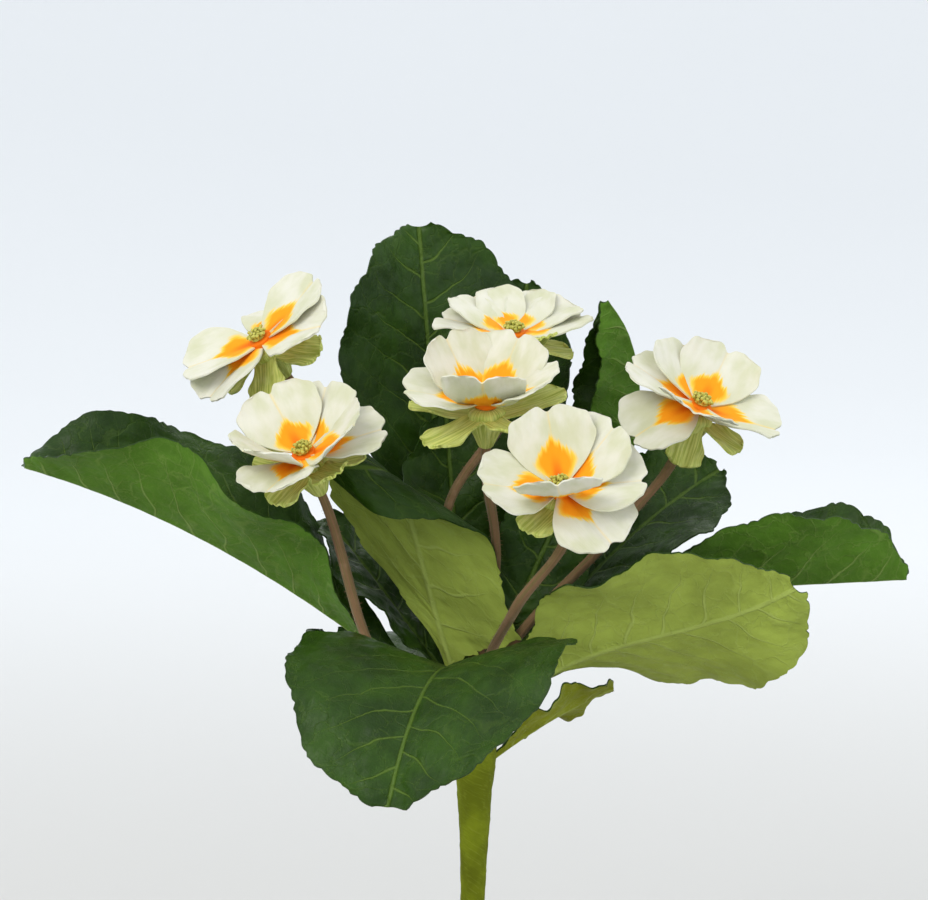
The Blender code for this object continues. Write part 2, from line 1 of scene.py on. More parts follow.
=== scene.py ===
"""The looks of a potted primrose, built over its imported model.

It makes the leaves, the blooms, the stem, the compost, the clay pot and the stage round them.
Lengths are in millimetres and angles in degrees, until a mesh is made in metres.
+X runs to the right of the plant's front, +Y to its back, and +Z up from the middle of the pot's foot.
"""

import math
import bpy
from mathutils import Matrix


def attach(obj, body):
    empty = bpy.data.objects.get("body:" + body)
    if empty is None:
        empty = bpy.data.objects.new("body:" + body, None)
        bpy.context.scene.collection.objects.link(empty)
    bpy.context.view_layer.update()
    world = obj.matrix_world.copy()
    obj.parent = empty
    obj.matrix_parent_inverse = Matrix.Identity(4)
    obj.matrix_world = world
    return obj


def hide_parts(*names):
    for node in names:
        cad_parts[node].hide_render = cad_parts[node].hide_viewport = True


bl_info = {
    "name": "Potted Primrose",
    "version": (1, 0, 0),
    "blender": (4, 5, 0),
    "location": "3D View > Sidebar > Primrose",
    "description": "Builds veined leaves, painted petals, a taped stem and a clay pot over a packed primrose",
    "category": "Add Mesh",
}

from collections import namedtuple

import bmesh
import bpy
import numpy as np
from bpy.props import FloatProperty, FloatVectorProperty, IntProperty, PointerProperty
from mathutils import Vector, noise

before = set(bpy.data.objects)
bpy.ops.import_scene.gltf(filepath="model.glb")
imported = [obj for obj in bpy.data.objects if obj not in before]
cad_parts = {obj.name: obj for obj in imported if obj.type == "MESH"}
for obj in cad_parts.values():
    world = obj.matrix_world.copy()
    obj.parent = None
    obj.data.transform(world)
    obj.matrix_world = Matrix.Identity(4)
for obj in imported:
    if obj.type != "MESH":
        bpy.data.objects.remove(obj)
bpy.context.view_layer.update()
BODY = "root"
MM = 0.001

# The pot
POT_HEIGHT = 98.0
POT_RIM_RADIUS = 60.0
POT_COLLAR_HEIGHT = 23.0  # the thick band below the rim
POT_COLLAR_STEP = 3.5
POT_FOOT_RADIUS = 39.0
POT_WALL = 5.0
POT_FLOOR = 7.0
POT_ROUNDING = 1.5
DRAIN_RADIUS = 4.5
DRAIN_RING_RADIUS = 20.0
DRAIN_COUNT = 4
DRAIN_SIDES = 40

# The compost
SOIL_LEVEL = 89.0
SOIL_LUMP_HEIGHT = 1.6
SOIL_RINGS = 56
SOIL_SIDES = 168
SOIL_CLEARANCE = 0.2  # from the pot's floor and wall
GRIT_SHARE = 0.07  # of the loose grains
BARK_SHARE = 0.15

# The taped stem, with the crown at its top
STEM_FOOT_HEIGHT = 34.0
STEM_LEAN = 3.0  # how far the top stands to the right of the pot's middle
STEM_PROFILE = (  # height, radius
    (STEM_FOOT_HEIGHT, 3.1),
    (106.0, 3.1),
    (130.0, 3.9),
    (148.0, 5.0),
    (157.0, 6.2),
    (172.0, 6.8),
    (180.0, 6.0),
    (185.0, 3.6),
)
TAPE_PITCH = 15.0
TAPE_STEP = 0.35  # how far the tape's edge stands out from the turn below it
STEM_SIDES = 56

# The leaves
LEAF_HALF_THICKNESS = 0.25
LEAF_RIB = 1.5  # how far the midrib stands out below the blade at the root
LEAF_RIB_WIDTH = 2.6
LEAF_PETIOLE = 0.11  # the winged stalk's half width, as a share of the blade's
LEAF_STALK_SHARE = 0.16  # of the length, before the blade starts to widen
LEAF_LOBE = 0.7  # the long swell of the edge
LEAF_LOBES = 8
LEAF_SIDE_ROWS = 0.66  # the share of the rows that lie before the round end
LEAF_END_ANGLE = 84
LEAF_START = 4.0  # from the crown's axis, inside the crown
CREASE_RADIUS = 1.0  # rounds the fold at the midrib
VEIN_GAP = 11.0
VEIN_RAKE = 0.55  # how far a side vein runs forward for each millimetre outwards
VEIN_CURVE = 0.009

Leaf = namedtuple(
    "Leaf",
    "root length width azimuth pitch left right twist wave under roll widest waves",
    defaults=("green", None, 0.70, 3.0),
)
# root: height on the crown. length and width: of the blade laid flat.
# azimuth and pitch: the midrib's direction at its root, middle and tip.
# left and right: how far each half stands up from the midrib at the root and at the tip, and how far it
# bends on. twist: the turn about the midrib at the root and at the tip. wave: the ruffle's height and its
# phase. under: the underside's colour. roll: the share of the length where the tip rolls back under, the
# slant of that line, and the roll's radius. widest: where the blade is widest, as a share of its length.
# waves: ruffles along each edge.
LEAVES = {
    "leaf_left": Leaf(
        166, 148, 68, (183, 186, 187), (42, 32, 17), (16, 44, 8), (42, 50, 8), (0, 0), (5, 133),
        widest=0.60, waves=3.3,
    ),
    "leaf_front": Leaf(
        165, 112, 78, (257, 257, 248), (58, 0, -62), (20, 6, -14), (24, 30, -10), (10, 8), (2, 40),
        widest=0.52,
    ),
    "leaf_top": Leaf(
        158, 156, 62, (112, 106, 118), (56, 72, 80), (18, 18, 5), (12, 10, 0), (0, 0), (2, 80),
        widest=0.78,
    ),
    "leaf_back_right": Leaf(
        164, 138, 44, (81, 75, 58), (50, 64, 76), (15, 15, 5), (15, 15, 5), (0, 0), (2, 10),
    ),
    "leaf_upright": Leaf(
        171, 135, 40, (31, 30, 30), (56, 57, 136), (40, 60, 10), (70, 80, 0), (0, 0), (1.5, 60),
    ),
    "leaf_mid_right": Leaf(
        165, 106, 50, (38, 25, 18), (48, 43, 27), (10, 10, 5), (10, 10, 5), (0, 25), (2, 30),
    ),
    "leaf_far_right": Leaf(
        166, 135, 54, (355, 354, 353), (62, 14, 5), (-10, 55, 5), (35, 58, 8), (0, 0), (2, 70),
        widest=0.80,
    ),
    "leaf_right_low": Leaf(
        162, 110, 64, (338, 336, 334), (60, 19, 33), (50, 0, 0), (10, 5, -40), (-40, -65), (2, 0),
        "pale", widest=0.52,
    ),
    "leaf_low": Leaf(
        154, 46, 38, (14, 14, 14), (34, 27, 20), (10, 5, 0), (10, 5, 0), (-20, -30), (2, 50),
        "yellow", widest=0.45,
    ),
    "leaf_front_roll": Leaf(
        168, 108, 42, (185, 198, 204), (66, 75, 64), (8, 5, 0), (8, 5, 0), (60, 58), (1, 20),
        "pale", (0.62, 50, 5.0), 0.44,
    ),
    "leaf_left_back": Leaf(
        170, 70, 38, (157, 160, 161), (47, 51, 46), (12, 8, 0), (12, 8, 0), (0, -10), (2, 90),
    ),
    "leaf_back_centre": Leaf(
        168, 90, 32, (104, 108, 112), (56, 74, 78), (15, 15, 5), (15, 15, 5), (0, 0), (2, 15),
    ),
    "leaf_centre_right": Leaf(
        175, 84, 30, (14, 18, 24), (62, 64, 60), (15, 15, 5), (0, 0, 5), (60, 60), (2, 75),
        widest=0.45,
    ),
    "leaf_back_low_left": Leaf(
        156, 70, 44, (132, 131, 130), (38, 24, 5), (12, 8, 0), (12, 8, 0), (0, 0), (2, 35),
    ),
    "leaf_back_low_right": Leaf(
        156, 85, 46, (62, 62, 62), (38, 24, 5), (12, 8, 0), (12, 8, 0), (0, 0), (2, 55),
    ),
}

# The blooms
PETAL_LENGTH = 22.5
PETAL_WIDTH = 24.0
PETAL_HALF_THICKNESS = 0.22
PETAL_NOTCH = 0.08  # as a share of the length
PETAL_CLAW = 0.16  # half width at the root, as a share of the widest
PETAL_WIDEST = 0.64  # where that is, as a share of the length
PETAL_SIDE_ROWS = 0.55
PETAL_END_ANGLE = 76
PETAL_ROOT_RADIUS = 1.2
PETAL_ROOT_HEIGHT = 0.8
PETAL_LAYER = 0.25  # petals next to each other start at different heights in the hub
PETAL_SECTION = (8, 4, 14)  # how far each half stands up at the root and at the tip, and bends on
HUB_RADIUS = 3.4
HUB_HEIGHT = 2.4
HEART_RADIUS = 2.3
ANTHER_LENGTH = 2.6
CALYX_HEIGHT = 12.5
CALYX_TOP_RADIUS = 5.2
LOBE_COUNT = 5
LOBE_WIDTH = 11.5
LOBE_ROOM = 17.0  # the angle that a lobe keeps below the petals over it
LOBE_SHELTER = 58  # how far to each side a petal still lies over a lobe
LOBE_LOWEST = -62
LOBE_HALF_THICKNESS = 0.25
LOBE_SECTION = (5, 5, 10)
LOBE_ROOT_DEPTH = 2.7  # below the bloom's middle
CALYX_MOUTH = -0.1  # its height over the bloom's middle
GOLDEN_TURN = 137.5  # from one anther to the next, which packs them evenly
ANTHER_PROFILE = (  # share of the length, radius
    (0.0, 0.30),
    (0.55, 0.34),
    (0.75, 0.50),
    (0.9, 0.52),
    (0.98, 0.36),
    (1.0, 0.10),
)
STALK_RADIUS = 1.45
STALK_SIDES = 18
STALK_STEPS = 34  # rings from the crown to the via point, and again from there to the bloom
HAIR_LENGTHS = (0.5, 1.1)
HAIR_RADIUS = 0.05

Bloom = namedtuple("Bloom", "centre faces petals lobe foot via")
# centre: the middle of the bloom. faces: the azimuth and the pitch of its axis.
# petals: the azimuth round the axis and the rise above the bloom's plane of each petal.
# lobe: the calyx lobes' length, the rise of one with no petal over it, and the azimuth of the first.
# foot: where the flower stalk leaves the crown, from its middle. via: a point that it bends through.
BLOOMS = {
    "front": Bloom(
        (26, -45, 240),
        (260, 50),
        ((97, 38), (42, 23), (-2, 3), (-54, -11), (-169, 26), (-88, 58)),
        (13, 0, 20),
        (1.6, -3.9),
        (14, -28, 205),
    ),
    "centre": Bloom(
        (6, -20, 260),
        (270, 70),
        ((131, 44), (60, 38), (93, 30), (-94, 48), (-173, 14), (-22, 32)),
        (20, 0, 10),
        (0.3, 0.3),
        (9, -1.5, 214),
    ),
    "back": Bloom(
        (14, 14, 275),
        (270, 72),
        ((155, 2), (121, 9), (87, 5), (55, 3), (28, 2)),
        (15, 35, -126),
        (0.6, 4.2),
        (-5, 6, 225),
    ),
    "left_high": Bloom(
        (-56, 0, 275),
        (220, 50),
        ((30, 11), (-24, 2), (-174, 8), (-138, -4), (74, -20)),
        (14, 0, -100),
        (-3.0, 2.9),
        (-26, 7, 222),
    ),
    "left": Bloom(
        (-43, -30, 247),
        (236, 57),
        ((67, 22), (-138, 46), (112, 32), (-21, 32), (8, -3), (-112, 14)),
        (13, 0, 20),
        (-3.6, -2.6),
        (-24, -21, 190),
    ),
    "right": Bloom(
        (65, -5, 257),
        (315, 60),
        ((156, 4), (108, 20), (72, 28), (-12, 8), (-146, -34), (-106, 22)),
        (13, 0, 50),
        (4.2, -1.2),
        (42, -4, 222),
    ),
}

# The stage
CAMERA_TARGET = (0.0, 0.0, 245.0)
CAMERA_DISTANCE = 1000.0
CAMERA_ELEVATION = 8.0
FRAME_WIDTH = 260.0  # of the picture at the target
SENSOR_WIDTH = 36.0
CAMERA_CLIP = (0.05, 20.0)  # in metres
STAGE_FLAT_RADIUS = 1500.0
STAGE_BEND_RADIUS = 1800.0
LAMP_TARGET = (0, 0, 210)

Lamp = namedtuple("Lamp", "place width colour")
LAMPS = {
    "key": Lamp((-900, -1150, 1500), 1100, (1.0, 0.97, 0.91)),
    "fill": Lamp((1250, -900, 700), 900, (0.94, 0.97, 1.0)),
    "back": Lamp((350, 1200, 1300), 900, (1.0, 1.0, 0.98)),
}


# Settings


def colour_setting(name, description, default):
    return FloatVectorProperty(
        name=name, description=description, subtype="COLOR", size=3, min=0.0, max=1.0, default=default
    )


def length_setting(name, description, default):
    """A length that is set in metres, given here in millimetres."""
    return FloatProperty(
        name=name, description=description, unit="LENGTH", subtype="DISTANCE", min=0.0, default=default * MM
    )


def count_setting(name, description, default, low, high):
    return IntProperty(name=name, description=description, default=default, min=low, max=high)


def power_setting(name, description, default):
    return FloatProperty(name=name, description=description, unit="POWER", min=0.0, default=default)


class PrimroseLeafSettings(bpy.types.PropertyGroup):
    rows: count_setting("Rows", "Mesh rows along a leaf", 176, 24, 400)
    columns: count_setting("Columns", "Mesh columns across half a leaf", 20, 4, 60)
    tooth_height: length_setting("Tooth Height", "How far a small tooth stands out of the edge", 0.8)
    tooth_pitch: length_setting("Tooth Pitch", "From one tooth to the next along the edge", 4.2)
    pucker: length_setting("Pucker", "How far the blade swells between two side veins", 0.7)
    top_colour: colour_setting("Top", "The upper face of a leaf", (0.031, 0.083, 0.004))
    shade_colour: colour_setting("Top Shade", "Darker patches of the upper face", (0.014, 0.040, 0.003))
    vein_colour: colour_setting("Veins", "The midrib and the side veins", (0.110, 0.185, 0.022))
    green_under_colour: colour_setting(
        "Green Underside", "The underside of most leaves", (0.088, 0.20, 0.018)
    )
    # The pale and yellow undersides are partly those leaves' paler tone and partly painted light shining
    # through the leaf.
    pale_under_colour: colour_setting(
        "Pale Underside", "The underside of the lower front leaves", (0.35, 0.44, 0.072)
    )
    yellow_under_colour: colour_setting(
        "Yellow Underside", "The underside of the lowest leaf", (0.25, 0.29, 0.012)
    )


class PrimroseBloomSettings(bpy.types.PropertyGroup):
    petal_rows: count_setting("Petal Rows", "Mesh rows along a petal", 34, 8, 120)
    petal_columns: count_setting("Petal Columns", "Mesh columns across half a petal", 14, 4, 60)
    lobe_rows: count_setting("Lobe Rows", "Mesh rows along a calyx lobe", 22, 8, 80)
    lobe_columns: count_setting("Lobe Columns", "Mesh columns across half a calyx lobe", 8, 3, 40)
    anthers: count_setting("Anthers", "Stubs in the heart of each bloom", 27, 5, 80)
    stalk_hairs: count_setting("Stalk Hairs", "Fine hairs on each flower stalk", 520, 0, 2000)
    petal_colour: colour_setting("Petal", "The ivory of the petals", (0.76, 0.745, 0.64))
    # Petal Shade tints random clouds and each petal's root; towards the root it is partly painted shade in
    # the throat.
    petal_shade_colour: colour_setting("Petal Shade", "Greener ivory at a petal's root", (0.62, 0.63, 0.43))
    flare_colour: colour_setting("Flare", "The orange mark at each petal's root", (1.0, 0.36, 0.012))
    flare_edge_colour: colour_setting("Flare Edge", "The feathering round the mark", (0.93, 0.62, 0.07))
    flare_heart_colour: colour_setting("Flare Heart", "The deep streak in the mark", (0.80, 0.12, 0.005))
    calyx_colour: colour_setting("Calyx", "The funnel and lobes below the petals", (0.65, 0.68, 0.20))
    calyx_shade_colour: colour_setting("Calyx Shade", "The calyx between its veins", (0.41, 0.47, 0.09))
    heart_colour: colour_setting("Heart", "The stubs in the middle of a bloom", (0.66, 0.62, 0.13))
    stalk_colour: colour_setting("Stalk", "The rosy brown of the flower stalks", (0.25, 0.135, 0.072))
    stalk_shade_colour: colour_setting("Stalk Shade", "Greener streaks of the stalks", (0.17, 0.13, 0.048))


class PrimrosePotSettings(bpy.types.PropertyGroup):
    sides: count_setting("Sides", "Mesh sides round the pot", 144, 24, 360)
    crumbs: count_setting("Crumbs", "Loose grains on the compost", 520, 0, 2000)
    clay_colour: colour_setting("Clay", "The fired clay", (0.47, 0.175, 0.085))
    clay_bloom_colour: colour_setting("Lime Bloom", "Pale lime marks on the clay", (0.68, 0.50, 0.38))
    compost_colour: colour_setting("Compost", "The damp compost", (0.030, 0.018, 0.011))
    grit_colour: colour_setting("Grit", "The pale grains in the compost", (0.60, 0.56, 0.48))
    tape_colour: colour_setting("Tape", "The papery tape round the stem", (0.23, 0.285, 0.015))
    tape_shade_colour: colour_setting("Tape Shade", "The tape's creases and overlaps", (0.145, 0.175, 0.010))


class PrimroseStageSettings(bpy.types.PropertyGroup):
    floor_colour: colour_setting("Floor", "The sweep near the plant", (0.64, 0.635, 0.62))
    backdrop_colour: colour_setting("Backdrop", "The sweep further off", (0.90, 0.92, 0.94))
    sky_colour: colour_setting("Sky", "The soft light from all round", (0.94, 0.97, 1.0))
    sky_strength: FloatProperty(
        name="Sky Strength", description="Strength of the light all round", min=0.0, default=0.89
    )
    key_power: power_setting("Key Power", "Power of the large lamp", 16.0)
    fill_power: power_setting("Fill Power", "Power of the small lamp", 3.0)
    back_power: power_setting("Back Power", "Power of the lamp behind", 4.5)


# Finishes


class Finish:
    """One material, with short ways to add shader nodes to it."""

    def __init__(self, name, **constants):
        self.material = bpy.data.materials.new(name)
        self.material.use_nodes = True
        self.tree = self.material.node_tree
        self.shader = self.tree.nodes["Principled BSDF"]
        for socket, value in constants.items():
            self.shader.inputs[socket.replace("_", " ")].default_value = value

    def add(self, kind, inputs, **settings):
        node = self.tree.nodes.new(kind)
        for name, value in settings.items():
            setattr(node, name, value)
        for socket, value in inputs.items():
            self.join(value, node.inputs[socket])
        return node

    def join(self, value, socket):
        if isinstance(value, bpy.types.NodeSocket):
            self.tree.links.new(value, socket)
        elif socket.type == "RGBA":
            socket.default_value = (*value, 1.0)
        else:
            socket.default_value = value

    def set(self, socket, value):
        self.join(value, self.shader.inputs[socket])

    def mark(self, name):
        """A value stored on the mesh, as a vector."""
        return self.add("ShaderNodeAttribute", {}, attribute_name=name).outputs["Vector"]

    def split(self, vector):
        return self.add("ShaderNodeSeparateXYZ", {0: vector}).outputs

    def place(self):
        """The point's own place in metres."""
        return self.add("ShaderNodeTexCoord", {}).outputs["Object"]

    def math(self, operation, *values):
        return self.add("ShaderNodeMath", dict(enumerate(values)), operation=operation).outputs[0]

    def times(self, first, second):
        return self.math("MULTIPLY", first, second)

    def plus(self, base, value, factor=1.0):
        """The base with factor times the value added."""
        return self.math("MULTIPLY_ADD", value, factor, base)

    def scaled(self, vector, factors):
        return self.add("ShaderNodeVectorMath", {0: vector, 1: factors}, operation="MULTIPLY").outputs[0]

    def ramp(self, value, low, high, start=0.0, end=1.0):
        """Runs from start to end as value goes from low to high."""
        inputs = {0: value, 1: low, 2: high, 3: start, 4: end}
        return self.add("ShaderNodeMapRange", inputs, interpolation_type="SMOOTHSTEP").outputs[0]

    def mix(self, share, first, second):
        return self.add("ShaderNodeMix", {0: share, 6: first, 7: second}, data_type="RGBA").outputs[2]

    def noise(self, vector, scale, detail=3.0, roughness=0.55):
        """Noise. The scale is one number, or one for each axis where the noise is stretched."""
        if isinstance(scale, tuple):
            vector, scale = self.scaled(vector, scale), 1.0
        inputs = {"Vector": vector, "Scale": scale, "Detail": detail, "Roughness": roughness}
        return self.add("ShaderNodeTexNoise", inputs).outputs[0]

    def borders(self, vector, scale, width):
        """1 on the borders between the cells of a random net, and 0 inside them."""
        inputs = {"Vector": vector, "Scale": scale}
        net = self.add("ShaderNodeTexVoronoi", inputs, feature="DISTANCE_TO_EDGE")
        return self.ramp(net.outputs["Distance"], 0.0, width, 1.0, 0.0)

    def done(self, colour, relief, depth, strength=1.0):
        """The finished material. The relief's depth is in millimetres."""
        inputs = {"Height": relief, "Distance": depth * MM, "Strength": strength}
        self.set("Base Color", colour)
        self.set("Normal", self.add("ShaderNodeBump", inputs).outputs[0])
        return self.material


PALE_VEIN = (0.42, 0.50, 0.17)  # mixed half and half with the underside's colour

# rough: the least and the most roughness. network, branches, veins: how strongly each shows in the colour.
# rise: the veins stand out of the underside, and are sunk into the upper face.
LeafFace = namedtuple("LeafFace", "specular rough network branches veins rise")
UPPER_FACE = LeafFace(0.22, (0.36, 0.54), 0.05, 0.14, 0.60, -1)
UNDERSIDE = LeafFace(0.10, (0.58, 0.75), 0.08, 0.20, 0.50, 1)


def leaf_finish(name, colour, shade, vein, face):
    """A leaf's face: a midrib, wandering side veins that fade outwards, and a fine network between them."""
    finish = Finish(name, Specular_IOR_Level=face.specular)
    flat = finish.mark("flat")
    along_vein, distance, edge = finish.split(finish.mark("veins"))
    wander = finish.noise(flat, 0.075, 1.5)
    along_vein = finish.math("ADD", along_vein, finish.plus(-0.35, wander, 0.7))
    from_vein = finish.times(finish.math("PINGPONG", along_vein, 0.5), VEIN_GAP * 0.85)
    thickness = finish.ramp(edge, 0.0, 0.9, 0.55, 0.18)
    side_veins = finish.ramp(finish.math("DIVIDE", from_vein, thickness), 0.25, 1.0, 1.0, 0.0)
    side_veins = finish.times(side_veins, finish.ramp(edge, 0.25, 0.95, 1.0, 0.10))
    midrib = finish.ramp(distance, 0.35, 0.95, 1.0, 0.0)
    veins = finish.math("MAXIMUM", side_veins, midrib)
    shift = finish.add("ShaderNodeCombineXYZ", {0: wander, 1: finish.noise(flat, 0.21)}).outputs[0]
    moved = {0: shift, 1: (14.0, 14.0, 0.0), 2: flat}
    bent = finish.add("ShaderNodeVectorMath", moved, operation="MULTIPLY_ADD").outputs[0]
    branches = finish.borders(bent, 0.13, 0.045)
    network = finish.borders(bent, 0.42, 0.11)
    patches = finish.noise(flat, 0.055, 4.0)
    fine = finish.noise(flat, 1.4)
    body = finish.mix(finish.ramp(patches, 0.35, 0.68), shade, colour)
    body = finish.mix(finish.times(fine, 0.35), body, shade)
    for lines, share in ((network, face.network), (branches, face.branches), (veins, face.veins)):
        body = finish.mix(finish.times(lines, share), body, vein)
    rim = finish.ramp(edge, 0.965, 1.0, 0.0, 0.35)
    finish.set("Roughness", finish.ramp(finish.noise(flat, 0.35), 0.3, 0.7, *face.rough))
    relief = finish.times(veins, 0.9 * face.rise)
    relief = finish.plus(relief, branches, 0.35 * face.rise)
    relief = finish.plus(relief, network, 0.10 * face.rise)
    relief = finish.plus(relief, fine, 0.45)
    crinkle = finish.noise(flat, (0.065, 0.10, 1.0), 2.0)
    relief = finish.plus(relief, crinkle, 10.0)
    return finish.done(finish.mix(rim, body, shade), relief, 0.28)


def petal_finish(settings):
    """Ivory with an orange flame along the middle of each petal, seen on both faces."""
    finish = Finish("petal_ivory", Roughness=0.62, Specular_IOR_Level=0.10, Subsurface_Weight=0.06)
    finish.shader.inputs["Subsurface Radius"].default_value = (1.0, 0.9, 0.6)
    finish.shader.inputs["Subsurface Scale"].default_value = 1.0 * MM
    flat = finish.mark("flat")
    share, out, which = finish.split(flat)
    aside = finish.math("ABSOLUTE", out)
    streaks = finish.noise(flat, (1.6, 11.0, 7.0))
    fringe = finish.noise(flat, (5.0, 30.0, 7.0), 2.0)
    ragged = finish.plus(finish.plus(-0.22, fringe, 0.14), streaks, 0.30)
    place = finish.math("ADD", share, finish.times(ragged, 0.7))
    place = finish.times(place, finish.ramp(which, 0.0, 1.0, 0.92, 1.12))
    widening = finish.ramp(place, 0.0, 0.30, 0.16, 0.46)
    closing = finish.ramp(place, 0.28, 0.66, 0.46, -0.05)
    width = finish.math("MINIMUM", widening, closing)
    inside = finish.math("SUBTRACT", width, finish.plus(aside, ragged, 0.35))
    clouds = finish.ramp(finish.noise(flat, 2.2), 0.3, 0.75)
    colour = finish.mix(clouds, settings.petal_colour, settings.petal_shade_colour)
    # Greener and darker towards the root: partly the petal's own greener tint, partly painted shade where the
    # petals crowd into the throat.
    colour = finish.mix(finish.ramp(share, 0.15, 0.75, 0.55, 0.0), colour, settings.petal_shade_colour)
    colour = finish.mix(finish.ramp(inside, -0.10, 0.03), colour, settings.flare_edge_colour)
    colour = finish.mix(finish.ramp(inside, -0.01, 0.14), colour, settings.flare_colour)
    near_root = finish.ramp(share, 0.12, 0.46, 1.0, 0.0)
    near_middle = finish.ramp(aside, 0.02, 0.17, 1.0, 0.0)
    deep = finish.times(finish.times(near_root, near_middle), 0.75)
    colour = finish.mix(deep, colour, settings.flare_heart_colour)
    veins = finish.noise(flat, (2.0, 34.0, 7.0), 2.0)
    return finish.done(colour, veins, 0.12, 0.35)


def calyx_finish(settings):
    """Lime green with long veins and a few darker creases."""
    finish = Finish("calyx_lime", Roughness=0.62, Specular_IOR_Level=0.12, Subsurface_Weight=0.06)
    finish.shader.inputs["Subsurface Scale"].default_value = 1.0 * MM
    flat = finish.mark("flat")
    lines = finish.noise(flat, (1.4, 12.0, 5.0))
    patches = finish.noise(finish.scaled(flat, (2.2, 1.6, 5.0)), 1.3)
    colour = finish.mix(finish.ramp(lines, 0.38, 0.62), settings.calyx_shade_colour, settings.calyx_colour)
    colour = finish.mix(finish.ramp(patches, 0.45, 0.8, 0.0, 0.6), colour, (0.68, 0.71, 0.30))
    return finish.done(colour, lines, 0.35, 0.6)


def heart_finish(settings):
    """Yellow-green stubs with a fine grain."""
    finish = Finish("heart_stubs", Roughness=0.7, Subsurface_Weight=0.05)
    finish.shader.inputs["Subsurface Scale"].default_value = 0.6 * MM
    grain = finish.noise(finish.place(), 1800.0, 2.0)
    colour = finish.mix(finish.ramp(grain, 0.35, 0.7), (0.38, 0.36, 0.05), settings.heart_colour)
    return finish.done(colour, grain, 0.2, 0.6)


def stalk_finish(settings):
    """Rosy brown with long greener streaks and a fine fuzz."""
    finish = Finish(
        "stalk_fuzzy", Roughness=0.72, Specular_IOR_Level=0.12, Sheen_Weight=0.15, Sheen_Roughness=0.5
    )
    streaks = finish.noise(finish.mark("flat"), (0.05, 2.4, 1.0))
    blotches = finish.noise(finish.place(), 160.0, 4.0)
    colour = finish.mix(finish.ramp(streaks, 0.35, 0.65), settings.stalk_shade_colour, settings.stalk_colour)
    colour = finish.mix(finish.ramp(blotches, 0.52, 0.75, 0.0, 0.45), colour, (0.36, 0.23, 0.14))
    return finish.done(colour, finish.noise(finish.place(), 1400.0, 2.0), 0.25, 0.5)


def tape_finish(settings):
    """Papery tape: crinkled along its length, darker where one turn laps the next."""
    finish = Finish("stem_tape", Roughness=0.7, Specular_IOR_Level=0.05)
    wrap = finish.mark("wrap")
    lap = finish.split(wrap)[1]
    place = finish.place()
    crinkle = finish.noise(wrap, (6.0, 0.0, 2.2), 4.0)
    patches = finish.noise(place, 90.0)
    grain = finish.noise(place, 900.0)
    colour = finish.mix(finish.ramp(patches, 0.36, 0.66), settings.tape_shade_colour, settings.tape_colour)
    colour = finish.mix(finish.ramp(crinkle, 0.5, 0.75, 0.0, 0.5), colour, (0.31, 0.36, 0.045))
    edge = finish.ramp(lap, 0.0, 0.06, 1.0, 0.0)
    colour = finish.mix(finish.times(edge, 0.6), colour, settings.tape_shade_colour)
    return finish.done(colour, finish.plus(crinkle, grain, 0.35), 0.5, 0.6)


def compost_finish(settings):
    """Damp crumbs with bark fibre and pale grit. The grain mark tells a loose grain from the bed."""
    finish = Finish("compost_damp", Specular_IOR_Level=0.3)
    grain = finish.split(finish.mark("grain"))[0]
    clods = finish.noise(finish.place(), 420.0, 5.0, 0.7)
    colour = finish.mix(finish.ramp(clods, 0.4, 0.65), settings.compost_colour, (0.085, 0.050, 0.028))
    colour = finish.mix(finish.ramp(grain, 0.25, 0.6), colour, (0.16, 0.085, 0.042))
    colour = finish.mix(finish.ramp(grain, 0.85, 0.95), colour, settings.grit_colour)
    finish.set("Roughness", finish.ramp(clods, 0.3, 0.7, 0.78, 0.98))
    return finish.done(colour, clods, 0.8, 0.8)


def clay_finish(settings):
    """Fired clay with turning lines, pale lime marks near the rim and the foot, and a fine grit."""
    finish = Finish("pot_clay", Specular_IOR_Level=0.3)
    place = finish.place()
    height = finish.split(place)[2]
    grit = finish.noise(place, 1300.0, 3.0, 0.7)
    clouds = finish.noise(place, 26.0, 5.0, 0.6)
    lines = finish.noise(place, (6.0, 6.0, 700.0))
    colour = finish.mix(finish.ramp(clouds, 0.32, 0.7), (0.36, 0.115, 0.052), settings.clay_colour)
    colour = finish.mix(finish.times(grit, 0.25), colour, (0.58, 0.27, 0.16))
    marks = finish.ramp(finish.noise(place, 55.0, 6.0, 0.72), 0.50, 0.70)
    low = finish.ramp(height, 2 * MM, 26 * MM, 1.0, 0.15)
    high = finish.ramp(height, 72 * MM, 97 * MM, 0.15, 0.8)
    lime = finish.times(marks, finish.times(finish.math("MAXIMUM", low, high), 0.75))
    colour = finish.mix(lime, colour, settings.clay_bloom_colour)
    finish.set("Roughness", finish.ramp(clouds, 0.3, 0.7, 0.8, 0.93))
    return finish.done(colour, finish.plus(grit, lines, 0.8), 0.22, 0.8)


def backdrop_finish(settings):
    """Paler further from the plant, where less of the lamps' light falls."""
    finish = Finish("backdrop_pale", Roughness=0.9, Specular_IOR_Level=0.1)
    right, back, _ = finish.split(finish.place())
    reach = finish.math("SQRT", finish.plus(finish.times(back, back), right, right))
    colour = finish.mix(finish.ramp(reach, 0.3, 1.6), settings.floor_colour, settings.backdrop_colour)
    mottle = finish.noise(finish.place(), 3.0, 2.0)
    finish.set("Base Color", finish.mix(finish.times(mottle, 0.03), colour, (0.5, 0.5, 0.5)))
    return finish.material


# Meshes


def link_mesh(name, points, faces):
    """A new object with a mesh. Points are in millimetres."""
    mesh = bpy.data.meshes.new(name)
    mesh.from_pydata((np.asarray(points) * MM).tolist(), [], [tuple(face) for face in faces])
    made = bpy.data.objects.new(name, mesh)
    bpy.context.scene.collection.objects.link(made)
    return made


